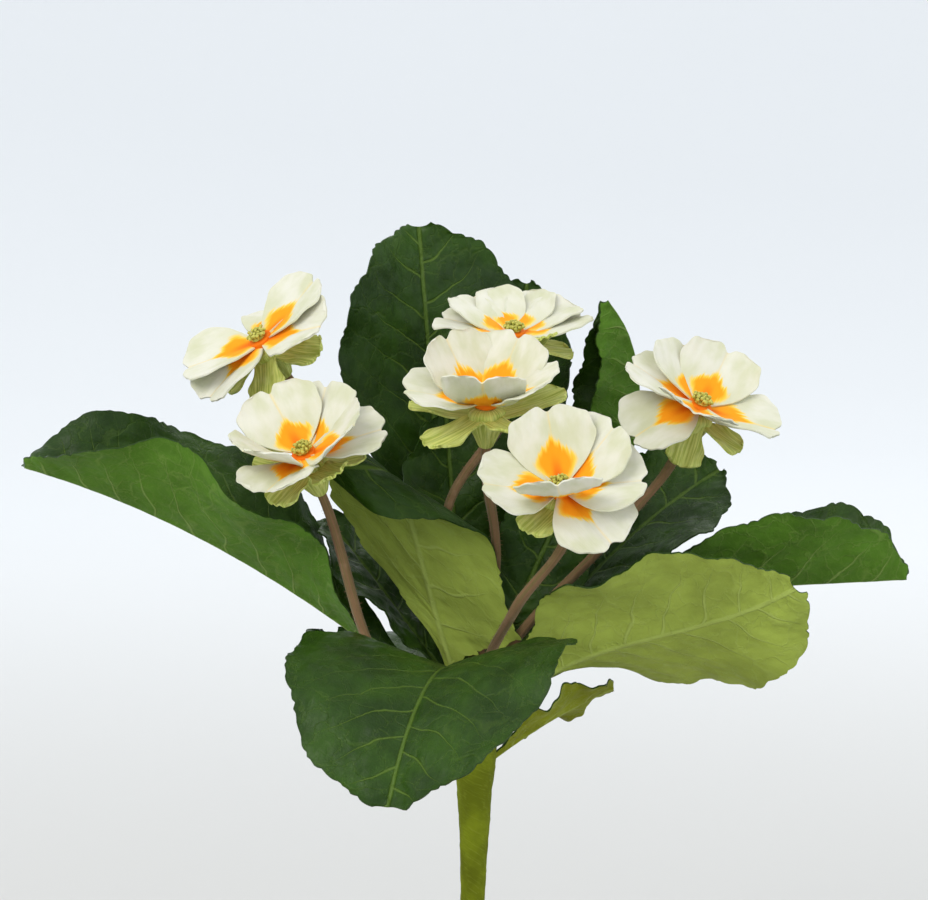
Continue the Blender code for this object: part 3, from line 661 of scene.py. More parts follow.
def add_piece(name, node, points, faces, finishes, marks=None, face_finish=None, sharp=50):
    """A piece that stands for one node of the model."""
    piece = link_mesh(name, points, faces)
    mesh = piece.data
    for mark, values in (marks or {}).items():
        attribute = mesh.attributes.new(mark, "FLOAT_VECTOR", "POINT")
        attribute.data.foreach_set("vector", np.asarray(values, np.float32).ravel())
    for finish in finishes:
        mesh.materials.append(finish)
    if face_finish is not None:
        mesh.polygons.foreach_set("material_index", np.asarray(face_finish, np.int32))
    mesh.shade_smooth()
    mesh.set_sharp_from_angle(angle=math.radians(sharp))
    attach(piece, BODY)
    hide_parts(node)
    return piece


class Builder:
    """Gathers closed shells into one mesh, with a mark for every point."""

    def __init__(self):
        self.points, self.faces, self.marks, self.count = [], [], [], 0

    def add(self, points, faces, marks):
        points = np.asarray(points, float).reshape(-1, 3)
        self.points.append(points)
        self.faces += [tuple(int(i) + self.count for i in face) for face in faces]
        self.marks.append(np.broadcast_to(np.asarray(marks, float), points.shape))
        self.count += len(points)

    def piece(self, name, node, slot, finish, mark=None):
        points, marks = np.vstack(self.points), np.vstack(self.marks)
        return add_piece(name, node, points, self.faces, [finish], {mark: marks} if mark else None)


def smooth(x):
    """Runs from 0 to 1 with no corner at either end."""
    x = np.clip(x, 0.0, 1.0)
    return x * x * (3 - 2 * x)


def through(values, share):
    """The parabola through a value at the root, the middle and the tip."""
    root, middle, tip = values
    rest = 1 - share
    return root * rest * (1 - 2 * share) + middle * 4 * share * rest + tip * share * (2 * share - 1)


def ring_faces(rings, sides, first=0):
    """The side faces between rings of points."""
    faces = []
    for i in range(rings - 1):
        for k in range(sides):
            a = first + i * sides + k
            b = first + i * sides + (k + 1) % sides
            faces.append((a, b, b + sides, a + sides))
    return faces


def turned(profile, sides):
    """(points, faces) of the solid whose half outline runs from the axis, up its outside and back to it."""
    angles = np.arange(sides) * math.tau / sides
    circle = np.stack([np.cos(angles), np.sin(angles), np.zeros(sides)], -1)
    rows = [circle * r + (0, 0, z) for r, z in profile[1:-1]]
    points = np.vstack([[(0, 0, profile[0][1])], *rows, [(0, 0, profile[-1][1])]])
    faces = ring_faces(len(rows), sides, first=1)
    last, top = len(points) - 1, 1 + (len(rows) - 1) * sides
    for k in range(sides):
        after = (k + 1) % sides
        faces.append((0, 1 + after, 1 + k))
        faces.append((last, top + k, top + after))
    return points, faces


def rounded(profile, radius, steps=5):
    """A profile whose inner corners are cut by short curves."""
    profile = [np.array(corner, float) for corner in profile]
    result = [profile[0]]
    for before, corner, after in zip(profile, profile[1:], profile[2:]):
        back, onward = before - corner, after - corner
        reach = min(radius, np.linalg.norm(back) * 0.45, np.linalg.norm(onward) * 0.45)
        start = corner + back / np.linalg.norm(back) * reach
        end = corner + onward / np.linalg.norm(onward) * reach
        for k in range(steps + 1):
            t = k / steps
            result.append(start * (1 - t) ** 2 + corner * 2 * t * (1 - t) + end * t * t)
    return [*result, profile[-1]]


def swept(path, radii, sides, relief=None):
    """(points, faces, (distance along, angle)) of a round bar along a path, with flat ends."""
    path = np.asarray(path, float)
    along = np.gradient(path, axis=0)
    along /= np.linalg.norm(along, axis=1)[:, None]
    run = np.concatenate([[0.0], np.cumsum(np.linalg.norm(np.diff(path, axis=0), axis=1))])
    angles = np.arange(sides) * math.tau / sides
    across = np.array([1.0, 0.0, 0.0])
    rings = []
    for i, centre in enumerate(path):
        across = across - along[i] * across.dot(along[i])
        across /= np.linalg.norm(across)
        up = np.cross(along[i], across)
        ring = np.outer(np.cos(angles), across) + np.outer(np.sin(angles), up)
        radius = np.full(sides, radii[i]) if relief is None else radii[i] + relief(run[i], angles)
        rings.append(centre + ring * radius[:, None])
    faces = ring_faces(len(path), sides)
    faces.append(tuple(reversed(range(sides))))
    faces.append(tuple(range((len(path) - 1) * sides, len(path) * sides)))
    return np.vstack(rings), faces, (np.repeat(run, sides), np.tile(angles, len(path)))


# Blades: leaves, petals and calyx lobes are all a thin sheet along a bent rib


class Rib:
    """The middle line of a blade, followed from its root, with a side and a face direction."""

    STEPS = 240

    def __init__(self, root, length, azimuth, pitch, twist=(0, 0), frame=None):
        self.length, self.azimuth, self.pitch, self.twist = length, azimuth, pitch, twist
        self.frame = np.eye(3) if frame is None else frame
        along = self.directions((np.arange(self.STEPS) + 0.5) / self.STEPS)[0]
        steps = np.cumsum(along * (length / self.STEPS), axis=0)
        self.points = np.vstack([np.zeros(3), steps]) + np.asarray(root, float)

    def directions(self, share):
        """(along, side, face) at each share of the length."""
        turn = np.radians(through(self.azimuth, share))
        rise = np.radians(through(self.pitch, share))
        twist = np.radians(self.twist[0] + (self.twist[1] - self.twist[0]) * smooth(share))[..., None]
        along = np.stack([np.cos(rise) * np.cos(turn), np.cos(rise) * np.sin(turn), np.sin(rise)], -1)
        level = np.stack([-np.sin(turn), np.cos(turn), np.zeros_like(turn)], -1)
        side = level * np.cos(twist) + np.cross(along, level) * np.sin(twist)
        face = np.cross(along, side)
        return along @ self.frame.T, side @ self.frame.T, face @ self.frame.T

    def point(self, share):
        place = np.clip(share, 0.0, 1.0) * self.STEPS
        steps = np.arange(self.STEPS + 1)
        inside = np.stack([np.interp(place, steps, self.points[:, axis]) for axis in range(3)], -1)
        onward = self.points[-1] - self.points[-2]
        return inside + onward * (np.maximum(share - 1.0, 0.0) * self.STEPS)[..., None]


def blade_grid(rows, columns, start=0.0):
    """Rows along a blade from start to 1, and places across it from -1 to 1, closest at rib and edges."""
    half = 0.5 - 0.5 * np.cos(np.pi * np.linspace(0, 1, columns + 1))
    across = np.concatenate([-half[:0:-1], half])
    return np.meshgrid(np.linspace(start, 1, rows + 1), across, indexing="ij")


def blade(rib, half_width, share, out, sections, lift, above, below, slant=0.0):
    """Points of a thin sheet, its upper face first. share and out place each point on the sheet laid flat.

    sections are the left and right halves' angles. lift, above and below are lengths out of the sheet's
    face. slant turns every row from square across the rib, so that the rows run along a slanted roll.
    """
    share = share - math.tan(math.radians(slant)) * out * half_width / rib.length
    distance = np.abs(out) * half_width
    hand = np.where(out > 0, 1.0, -1.0)
    fold_root, fold_tip, bend = (np.where(out > 0, *pair) for pair in zip(*sections))
    fold = np.radians(fold_root + (fold_tip - fold_root) * share)
    half_turn = np.radians(bend) * smooth(share * 1.6) * distance / half_width / 2
    chord = distance * np.sinc(half_turn / np.pi)
    eased = np.sqrt(distance**2 + CREASE_RADIUS**2)
    across = chord * np.cos(fold + half_turn)
    up = chord * np.sin(fold + half_turn) - np.sin(fold) * (distance + CREASE_RADIUS - eased)
    slope = (fold + 2 * half_turn) * distance / eased
    _, side, face = rib.directions(share)
    out_of_face = face * np.cos(slope)[..., None] - side * (hand * np.sin(slope))[..., None]
    centre = rib.point(share) + side * (hand * across)[..., None] + face * up[..., None]
    centre += out_of_face * lift[..., None]
    upper = centre + out_of_face * above[..., None]
    lower = centre - out_of_face * below[..., None]
    return np.vstack([upper.reshape(-1, 3), lower.reshape(-1, 3)])


def blade_faces(rows, width):
    """(faces, how many are on the upper face, how many are below) of a closed thin sheet."""
    index = np.arange((rows + 1) * width).reshape(rows + 1, width)
    count = index.size
    a, b, c, d = index[:-1, :-1], index[:-1, 1:], index[1:, 1:], index[1:, :-1]
    upper = np.stack([a, d, c, b], -1).reshape(-1, 4)
    lower = np.stack([a, b, c, d], -1).reshape(-1, 4) + count
    border = np.concatenate([index[0], index[1:, -1], index[-1, -2::-1], index[-2:0:-1, 0]])
    after = np.roll(border, -1)
    rim = np.stack([border, after, after + count, border + count], -1)
    return np.vstack([upper, lower, rim]).tolist(), len(upper), len(lower)


def add_blade(builder, rib, half_width, share, out, section, lift, half_thickness, tone, flare=1.0):
    """A closed blade of even thickness, with the same fold on both halves.

    Its mark is the place on the flat blade, and a number that tells this blade from its neighbours.
    flare widens the blade in places, without moving the mark.
    """
    half = np.full_like(lift, half_thickness)
    points = blade(rib, half_width, share, out * flare, (section, section), lift, half, half)
    faces, _, _ = blade_faces(share.shape[0] - 1, share.shape[1])
    marks = np.stack([share, out, np.full_like(share, tone)], -1)
    builder.add(points, faces, np.tile(marks.reshape(-1, 3), (2, 1)))


def rolled(points, rib, roll):
    """The points of a blade after the part beyond a slanted line has rolled back under it."""
    share, slant, radius = roll
    slant = math.radians(slant)
    along, side, face = (d.reshape(3) for d in rib.directions(np.array([share])))
    onward = along * math.cos(slant) + side * math.sin(slant)
    offset = points - rib.point(np.array([share])).reshape(3)
    beyond = offset @ onward
    above = offset @ face
    turn = np.maximum(beyond, 0.0) / radius
    onward_now = (radius + above) * np.sin(turn)
    above_now = (radius + above) * np.cos(turn) - radius
    move = np.outer(onward_now - beyond, onward) + np.outer(above_now - above, face)
    return points + np.where((beyond > 0)[:, None], move, 0.0)


# Leaves


def leaf_edge(leaf, rows):
    """(share, out, slant) of the outline laid flat, at each row."""
    before = leaf.widest * rows / LEAF_SIDE_ROWS
    broad = smooth((before - LEAF_STALK_SHARE) / (leaf.widest - LEAF_STALK_SHARE))
    slant = np.radians(LEAF_END_ANGLE) * np.maximum(rows - LEAF_SIDE_ROWS, 0.0) / (1 - LEAF_SIDE_ROWS)
    is_side = rows < LEAF_SIDE_ROWS
    share = np.where(is_side, before, leaf.widest + (1 - leaf.widest) * np.sin(slant))
    out = np.where(is_side, LEAF_PETIOLE + (1 - LEAF_PETIOLE) * broad, np.cos(slant))
    return share, out, slant


def leaf_outline(leaf, rows, across, settings):
    """(share, out) of each mesh point on a leaf laid flat, with uneven rounded teeth along its edges."""
    share, out, slant = leaf_edge(leaf, rows)
    half_width = leaf.width / 2
    steps = np.hypot(np.diff(share[:, 0]) * leaf.length, np.diff(out[:, 0]) * half_width)
    run = np.concatenate([[0.0], np.cumsum(steps)])[:, None] / (settings.tooth_pitch / MM)
    run = run + 0.30 * np.sin(run * 1.9 + leaf.length + np.sign(across)) + 0.4 * (across > 0)
    tooth = np.abs(np.sin(np.pi * run)) ** 0.7 - 0.6
    tooth *= settings.tooth_height / MM * (1 + 0.35 * np.sin(run * 2.7 + 2 * np.sign(across)))
    tooth = tooth * np.abs(across) ** 7
    lobe = LEAF_LOBE * np.cos(math.tau * LEAF_LOBES * rows) * np.abs(across) ** 3
    edge = (tooth + lobe) * smooth((rows - 0.25) / 0.2)
    share = share + edge / leaf.length * np.sin(slant)
    return share, across * out + np.sign(across) * edge / half_width * np.cos(slant)


def build_leaf(name, leaf, settings, finishes):
    """A folded and ruffled blade with puckers between its veins, and the midrib standing out below it."""
    start = LEAF_START / leaf.length * LEAF_SIDE_ROWS / leaf.widest
    rows, across = blade_grid(settings.rows, settings.columns, start)
    share, out = leaf_outline(leaf, rows, across, settings)
    half_width = leaf.width / 2
    along, aside = share * leaf.length, out * half_width
    distance, edge = np.abs(aside), np.abs(across)
    veins = (along - VEIN_RAKE * distance - VEIN_CURVE * distance**2) / VEIN_GAP
    veins += np.where(across > 0, 0.22, -0.22) + 0.12 * np.sin(along * 0.11 + leaf.width)

    height, phase = leaf.wave
    turn = math.tau * leaf.waves * share + math.radians(phase) + np.where(across > 0, 2.1, 0.0)
    lift = height * across**2 * np.sin(turn) * smooth((share - 0.15) / 0.4)
    blade_share = smooth((share - 0.18) / 0.15)
    lift = lift + 0.45 * edge**4 * np.sin(turn * 3.3 + 1.1) * blade_share
    pucker = 0.5 - 0.5 * np.cos(math.tau * veins)
    ripples = 0.22 * np.cos(3 * math.tau * veins + 0.7 * np.sin(distance * 0.5))
    lift = lift + settings.pucker / MM * (pucker + ripples - 0.5) * np.sin(np.pi * edge**0.7) * blade_share

    ridge = np.clip(1 - distance / LEAF_RIB_WIDTH, 0.0, 1.0)
    rib_depth = LEAF_RIB * np.clip(1 - share, 0.0, 1.0) ** 1.5 * smooth(ridge)
    groove = 0.25 * smooth(1 - distance / 1.4) * blade_share
    above = LEAF_HALF_THICKNESS - groove
    below = LEAF_HALF_THICKNESS + rib_depth

    rib = Rib((STEM_LEAN, 0, leaf.root), leaf.length, leaf.azimuth, leaf.pitch, leaf.twist)
    slant = leaf.roll[1] if leaf.roll else 0.0
    sections = (leaf.left, leaf.right)
    points = blade(rib, half_width, share, out, sections, lift, above, below, slant)
    if leaf.roll:
        points = rolled(points, rib, leaf.roll)
    faces, upper, lower = blade_faces(settings.rows, across.shape[1])
    face_finish = [0] * upper + [1] * lower + [0] * (len(faces) - upper - lower)
    marks = {
        "flat": np.tile(np.stack([along, aside, np.zeros_like(along)], -1).reshape(-1, 3), (2, 1)),
        "veins": np.tile(np.stack([veins, distance, edge], -1).reshape(-1, 3), (2, 1)),
    }
    return add_piece(f"{name}_blade", name, points, faces, finishes, marks, face_finish, sharp=60)


# Blooms


def bloom_frame(faces):
    """The bloom's own directions. The third is its axis, and the first is as near +X as it can be."""
    turn, rise = (math.radians(angle) for angle in faces)
    axis = np.array([math.cos(rise) * math.cos(turn), math.cos(rise) * math.sin(turn), math.sin(rise)])
    first = np.array([1.0, 0.0, 0.0]) - axis * axis[0]
    first /= np.linalg.norm(first)
    return np.stack([first, np.cross(axis, first), axis], 1)


def round_the_axis(turn, radius, height):
    turn = math.radians(turn)
    return np.array([math.cos(turn) * radius, math.sin(turn) * radius, height])


def direction(vector):
    return vector / np.linalg.norm(vector)


def petal_outline(rows, across):
    """A petal laid flat: a narrow claw, a broad round end, and a notch in its middle."""
    end = math.radians(PETAL_END_ANGLE)
    angle = end * np.maximum(rows - PETAL_SIDE_ROWS, 0.0) / (1 - PETAL_SIDE_ROWS)
    before = PETAL_WIDEST * rows / PETAL_SIDE_ROWS
    is_side = rows < PETAL_SIDE_ROWS
    share = np.where(is_side, before, PETAL_WIDEST + (1 - PETAL_WIDEST) * np.sin(angle) / math.sin(end))
    broad = PETAL_CLAW + (1 - PETAL_CLAW) * np.sin(np.pi / 2 * np.minimum(before / PETAL_WIDEST, 1.0))
    out = np.where(is_side, broad, np.cos(angle) ** 0.6)
    notch = PETAL_NOTCH * np.exp(-((across / 0.3) ** 2)) * share**5
    corner = 0.06 * across**4 * smooth((rows - PETAL_SIDE_ROWS) / 0.45)
    return share * (1 - notch - corner), across * out


def build_corolla(name, bloom, settings, finish):
    """The petals of one bloom on a small hub."""
    frame = bloom_frame(bloom.faces)
    centre = np.array(bloom.centre, float)
    builder = Builder()
    hub_profile = rounded([(0, 0), (HUB_RADIUS, 0), (HUB_RADIUS, HUB_HEIGHT), (0, HUB_HEIGHT)], 0.8)
    points, faces = turned(hub_profile, 32)
    builder.add(points @ frame.T + centre, faces, (0.1, 0.0, 0.5))
    rows, across = blade_grid(settings.petal_rows, settings.petal_columns)
    for k, (turn, rise) in enumerate(bloom.petals):
        height = PETAL_ROOT_HEIGHT + PETAL_LAYER * (k % 3)
        root = frame @ round_the_axis(turn, PETAL_ROOT_RADIUS, height) + centre
        pitch = (0.35 * rise + 6, rise + 2, rise * 1.15)
        rib = Rib(root, PETAL_LENGTH, (turn,) * 3, pitch, frame=frame)
        share, out = petal_outline(rows, across)
        wobble = 0.012 * np.sin(23 * rows + turn) * across**6 + 0.008 * np.sin(9 * across + turn) * share**6
        share, out = share + wobble * share, out * (1 + 1.5 * wobble)
        aside = out * PETAL_WIDTH / 2
        waves = 0.7 * across**2 * np.sin(5 * share + 1.7 * turn)
        edge_waves = 0.32 * np.abs(across) ** 3 * np.sin(15 * share + 2.3 * turn) * smooth(share * 2 - 0.4)
        crease = 0.45 * np.exp(-((aside / 1.1) ** 2)) * smooth(share * 2)
        veins = 0.10 * np.sin(aside * 2.1 + 1.3 * np.sin(share * 4)) * smooth(share * 2.5 - 0.2)
        lift = waves + edge_waves - crease + veins
        tone = (0.37 * k + 0.011 * abs(turn)) % 1.0
        add_blade(
            builder, rib, PETAL_WIDTH / 2, share, out, PETAL_SECTION, lift, PETAL_HALF_THICKNESS, tone
        )
    return builder.piece(f"corolla_{name}_petals", f"corolla_{name}", "petal", finish, "flat")


def lobe_outline(rows, across):
    """A calyx lobe laid flat: broad at the root and blunt at the tip."""
    share = np.sin(np.radians(90) * rows)
    tip = np.cos(np.radians(140) * np.clip(rows - 0.5, 0.0, 0.5)) ** 0.7
    out = np.where(rows < 0.5, 0.55 + 0.45 * smooth(rows / 0.5), tip)
    return share - 0.09 * across**4 * smooth((rows - 0.5) / 0.5), across * out


def lobe_rise(bloom, turn):
    """The rise of a calyx lobe: below the lowest petal over it, or its own where no petal is."""
    near = [(abs((turn - petal + 180) % 360 - 180), rise) for petal, rise in bloom.petals]
    over = [rise for apart, rise in near if apart < LOBE_SHELTER]
    return max(LOBE_LOWEST, min(over) - LOBE_ROOM) if over else bloom.lobe[1]


def build_calyx(name, bloom, settings, finish):
    """A pleated green funnel below the petals, with blunt crinkled lobes round its mouth."""
    frame = bloom_frame(bloom.faces)
    centre = np.array(bloom.centre, float)
    length, _, first = bloom.lobe
    foot = CALYX_MOUTH - CALYX_HEIGHT
    profile = [
        (0, foot),
        (STALK_RADIUS + 0.5, foot),
        (CALYX_TOP_RADIUS - 0.6, CALYX_MOUTH - CALYX_HEIGHT * 0.45),
        (CALYX_TOP_RADIUS, CALYX_MOUTH - 1.2),
        (HUB_RADIUS, CALYX_MOUTH),
        (0, CALYX_MOUTH),
    ]
    builder = Builder()
    points, faces = turned(rounded(profile, 3.0, 7), 60)
    turn = np.arctan2(points[:, 1], points[:, 0])
    depth = np.clip((CALYX_MOUTH - points[:, 2]) / CALYX_HEIGHT, 0.0, 1.0)
    pleats = 0.09 * np.cos(5 * turn + math.radians(first)) * np.sin(np.pi * depth)
    points[:, :2] *= (1 + pleats + 0.03 * np.cos(15 * turn))[:, None]
    marks = np.stack([depth, np.abs(turn) * 0.8, np.full_like(turn, 0.4)], -1)
    builder.add(points @ frame.T + centre, faces, marks)
    rows, across = blade_grid(settings.lobe_rows, settings.lobe_columns)
    share, out = lobe_outline(rows, across)
    for k in range(LOBE_COUNT):
        turn = first + 360 / LOBE_COUNT * k
        rise = lobe_rise(bloom, turn)
        root = frame @ round_the_axis(turn, CALYX_TOP_RADIUS - 2, -LOBE_ROOT_DEPTH) + centre
        rib = Rib(root, length, (turn,) * 3, (rise - 8, rise, rise + 10), frame=frame)
        flare = 1 + 0.05 * np.sin(17 * rows + turn) * across**2
        lift = 0.5 * across**2 * np.sin(7 * share + turn)
        lift = lift + 0.35 * np.cos(2.5 * math.pi * across + turn) * smooth(1.4 * share)
        lift = lift + 0.2 * np.sin(11 * share + 5 * across + turn) * np.abs(across) ** 2
        tone = (0.31 * k) % 1.0
        add_blade(
            builder, rib, LOBE_WIDTH / 2, share, out, LOBE_SECTION, lift, LOBE_HALF_THICKNESS, tone, flare
        )
    return builder.piece(f"calyx_{name}_lobes", f"calyx_{name}", "calyx", finish, "flat")


def build_heart(name, bloom, settings, finish):
    """The cluster of blunt stubs in the throat, on a low cushion."""
    frame = bloom_frame(bloom.faces)
    centre = np.array(bloom.centre, float)
    foot = HUB_HEIGHT + 0.1
    draw = np.random.default_rng(len(name) + 11)
    builder = Builder()
    cushion = [(0, foot), (HEART_RADIUS, foot), (HEART_RADIUS * 0.8, foot + 1.0), (0, foot + 1.4)]
    points, faces = turned(rounded(cushion, 0.6), 24)
    builder.add(points @ frame.T + centre, faces, (0, 0, 0))
    shares, radii = zip(*ANTHER_PROFILE)
    for k in range(settings.anthers):
        reach = math.sqrt((k + 0.5) / settings.anthers)
        turn = k * GOLDEN_TURN
        start = round_the_axis(turn, HEART_RADIUS * 0.85 * reach, foot + 0.3)
        lean = round_the_axis(turn, 0.75 * reach, 1.0) + draw.normal(0, 0.10, 3)
        length = ANTHER_LENGTH * (1.0 - 0.25 * reach) * draw.uniform(0.8, 1.1)
        points, faces, _ = swept(start + np.outer(shares, direction(lean) * length), radii, 8)
        builder.add(points @ frame.T + centre, faces, (0, 0, 0))
    return builder.piece(f"heart_{name}_stubs", f"heart_{name}", "heart", finish)


def stalk_path(bloom):
    """From inside the crown, through the via point, to the calyx's foot, along the bloom's axis there."""
    axis = bloom_frame(bloom.faces)[:, 2]
    end = np.array(bloom.centre, float) - axis * (CALYX_HEIGHT - 0.5)
    bend = np.array(bloom.centre, float) - axis * (CALYX_HEIGHT + 2.6)
    via = np.array(bloom.via, float)
    start = np.array([STEM_LEAN + bloom.foot[0], bloom.foot[1], STEM_PROFILE[-2][0] - 2])
    leave = (via - start) * 0.6 + np.array([0, 0, np.linalg.norm(via - start) * 0.5])
    passing = (bend - start) * 0.5
    arrive = axis * np.linalg.norm(bend - via) * 1.1
    path = []
    for first, last, out, into in ((start, via, leave, passing), (via, bend, passing, arrive)):
        for t in np.arange(STALK_STEPS) / STALK_STEPS:
            straight = first + (last - first) * smooth(t)
            path.append(straight + out * (t * (1 - t) ** 2) - into * (t * t * (1 - t)))
    return np.array([*path, bend, end])


def build_stalk(name, bloom, settings, finish):
    """A slim round stalk with soft lengthwise ribs and a fuzz of short hairs."""
    path = stalk_path(bloom)
    draw = np.random.default_rng(len(name) + 29)
    wander = draw.uniform(0, math.tau)
    radii = STALK_RADIUS * (0.94 + 0.05 * np.sin(np.arange(len(path)) * 0.21 + wander))

    def ribs(run, angles):
        return 0.07 * np.cos(5 * angles + run * 0.05) + 0.03 * np.sin(11 * angles + run * 0.3)

    points, faces, (run, angles) = swept(path, radii, STALK_SIDES, ribs)
    builder = Builder()
    round_it = np.abs(angles - math.pi) * STALK_RADIUS
    builder.add(points, faces, np.stack([run, round_it, np.zeros_like(run)], -1))
    first, last = STALK_SIDES * 4, len(points) - STALK_SIDES * 2
    for k in draw.integers(first, last, settings.stalk_hairs):
        out = direction(points[k] - path[k // STALK_SIDES])
        lean = out + draw.normal(0, 0.35, 3)
        tip = points[k] + direction(lean) * draw.uniform(*HAIR_LENGTHS)
        side = direction(np.cross(out, draw.normal(0, 1, 3)))
        base = points[k] - out * 0.1
        other = np.cross(out, side) * HAIR_RADIUS
        behind = base - side * HAIR_RADIUS * 0.6
        corners = [base + side * HAIR_RADIUS, behind + other, behind - other, tip]
        builder.add(corners, [(0, 2, 1), (0, 1, 3), (1, 2, 3), (2, 0, 3)], (run[k], 0.5, 0))
    return builder.piece(f"stalk_{name}_fuzzy", f"stalk_{name}", "stalk", finish, "flat")


# The stem, the compost and the pot


def build_stem(finish):
    """The stem wound with tape in slanted turns, and the crown where the leaves grow."""
    low, high = STEM_PROFILE[0][0], STEM_PROFILE[-1][0]
    heights = np.concatenate([np.linspace(low, 80, 10), np.linspace(84, high, 220)])
    radii = np.interp(heights, *zip(*STEM_PROFILE))
    radii = np.concatenate([radii, radii[-1:] * 0.7, radii[-1:] * 0.3])
    heights = np.concatenate([heights, [high + 0.15, high + 0.2]])
    lean = STEM_LEAN * smooth((heights - low) / (STEM_PROFILE[3][0] - low))
    path = np.stack([lean, np.zeros_like(lean), heights], -1)

    def tape(run, angles):
        lap = (run / TAPE_PITCH + angles / math.tau) % 1.0
        creases = 0.10 * np.sin(9 * angles + run * 0.9) * np.sin(run * 0.37 + 2 * angles)
        return TAPE_STEP * (0.5 - smooth(lap / 0.08) + lap * 0.9) * 0.6 + creases

    points, faces, (run, angles) = swept(path, radii, STEM_SIDES, tape)
    turns = run / TAPE_PITCH + angles / math.tau
    marks = {"wrap": np.stack([turns * 5.0, turns % 1.0, np.sin(angles) * 2.0 + turns], -1)}
    return add_piece("stem_taped", "stem", points, faces, [finish], marks, sharp=40)


def wall_radius(height):
    """The pot's outer radius below the collar."""
    top = POT_RIM_RADIUS - POT_COLLAR_STEP
    return POT_FOOT_RADIUS + (top - POT_FOOT_RADIUS) * height / POT_HEIGHT


def build_pot(settings, finish):
    """A tapered clay pot with a soft-edged collar, and drain holes through its floor."""
    collar = POT_HEIGHT - POT_COLLAR_HEIGHT
    profile = [
        (0, 0.6),
        (POT_FOOT_RADIUS - 9, 0.6),
        (POT_FOOT_RADIUS - 8, 0),
        (POT_FOOT_RADIUS, 0),
        (wall_radius(collar), collar),
        (wall_radius(collar) + POT_COLLAR_STEP, collar + 0.5),
        (POT_RIM_RADIUS, POT_HEIGHT),
        (wall_radius(POT_HEIGHT) - POT_WALL, POT_HEIGHT),
        (wall_radius(POT_FLOOR) - POT_WALL, POT_FLOOR),
        (0, POT_FLOOR),
    ]
    points, faces = turned(rounded(profile, POT_ROUNDING, 6), settings.sides)
    pot = add_piece("pot_turned", "pot", points, faces, [finish], sharp=40)
    for k in range(DRAIN_COUNT):
        angle = math.tau * (k + 0.5) / DRAIN_COUNT
        foot = np.array([math.cos(angle), math.sin(angle), 0]) * DRAIN_RING_RADIUS
        path = [foot + (0, 0, -POT_FLOOR), foot + (0, 0, 2 * POT_FLOOR)]
        points, faces, _ = swept(path, [DRAIN_RADIUS] * 2, DRAIN_SIDES)
        drill = link_mesh("drill", points, faces)
        cut = pot.modifiers.new("Drain", "BOOLEAN")
        cut.operation = "DIFFERENCE"
        cut.solver = "EXACT"
        cut.object = drill
        graph = bpy.context.evaluated_depsgraph_get()
        made = bpy.data.meshes.new_from_object(pot.evaluated_get(graph))
        pot.modifiers.remove(cut)
        pot.data = made
        bpy.data.objects.remove(drill)
    return pot


def soil_lump(x, y):
    """The height of the crumbled surface over its mean level, sinking a little to the pot's wall."""
    lump = np.sin(x * 0.31 + 1.3) * np.cos(y * 0.27 - 0.4) + 0.6 * np.sin(x * 0.12 - y * 0.21)
    return SOIL_LUMP_HEIGHT * lump / 1.6 - 0.0009 * (x * x + y * y)


def build_soil(settings, finish):
    """The compost: a crumbled bed with loose bark and grit on it, filling the pot down to its floor."""
    inner, low = POT_WALL + SOIL_CLEARANCE, POT_FLOOR + SOIL_CLEARANCE
    outer = wall_radius(SOIL_LEVEL - 3) - inner
    profile = [(0, low), (wall_radius(low) - inner, low)]
    profile += [(outer * k / SOIL_RINGS, SOIL_LEVEL) for k in range(SOIL_RINGS, 0, -1)]
    points, faces = turned([*profile, (0, SOIL_LEVEL)], SOIL_SIDES)
    for i in np.flatnonzero(points[:, 2] > SOIL_LEVEL - 1):
        x, y, _ = points[i]
        clods = noise.fractal(Vector((x * 0.22, y * 0.22, 0.0)), 0.9, 2.2, 5)
        points[i, 2] += soil_lump(x, y) + 0.9 * clods
    builder = Builder()
    builder.add(points, faces, (0, 0, 0))
    ball = bmesh.new()
    bmesh.ops.create_icosphere(ball, subdivisions=2, radius=1.0)
    sphere = np.array([vertex.co[:] for vertex in ball.verts])
    sphere_faces = [tuple(vertex.index for vertex in face.verts) for face in ball.faces]
    ball.free()
    draw = np.random.default_rng(5)
    for k in range(settings.crumbs):
        turn = draw.uniform(0, math.tau)
        reach = outer * math.sqrt(draw.uniform(0.01, 0.93))
        x, y = reach * math.cos(turn), reach * math.sin(turn)
        kind = draw.uniform()
        size = np.array([1.0, 1.0, 0.8]) * draw.uniform(0.5, 1.9)
        grain = draw.uniform(0.0, 0.7)
        if kind > 1 - GRIT_SHARE:
            size *= 0.8
            grain = 1.0
        elif kind > 1 - GRIT_SHARE - BARK_SHARE:
            size *= (2.2, 0.7, 0.6)
            grain = draw.uniform(0.5, 0.8)
        lumps = sphere * size * (1 + 0.22 * np.sin(sphere * 5.0 + k).sum(1, keepdims=True))
        spin = draw.uniform(0, math.tau)
        cosine, sine = math.cos(spin), math.sin(spin)
        turned_round = lumps @ np.array([[cosine, sine, 0], [-sine, cosine, 0], [0, 0, 1]])
        centre = np.array([x, y, SOIL_LEVEL + soil_lump(x, y) + 0.25 * size[2]])
        builder.add(turned_round + centre, sphere_faces, (grain, 0, 0))
    return builder.piece("soil_crumbled", "soil", "compost", finish, "grain")


# Operators


def for_each_bloom(context, build, make_finish):
    settings = context.scene.primrose_blooms
    finish = make_finish(settings)
    for name, bloom in BLOOMS.items():
        build(name, bloom, settings, finish)
    return {"FINISHED"}


class PRIMROSE_OT_pot(bpy.types.Operator):
    """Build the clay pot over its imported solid"""

    bl_idname = "primrose.pot"
    bl_label = "Clay Pot"

    def execute(self, context):
        settings = context.scene.primrose_pot
        build_pot(settings, clay_finish(settings))
        return {"FINISHED"}


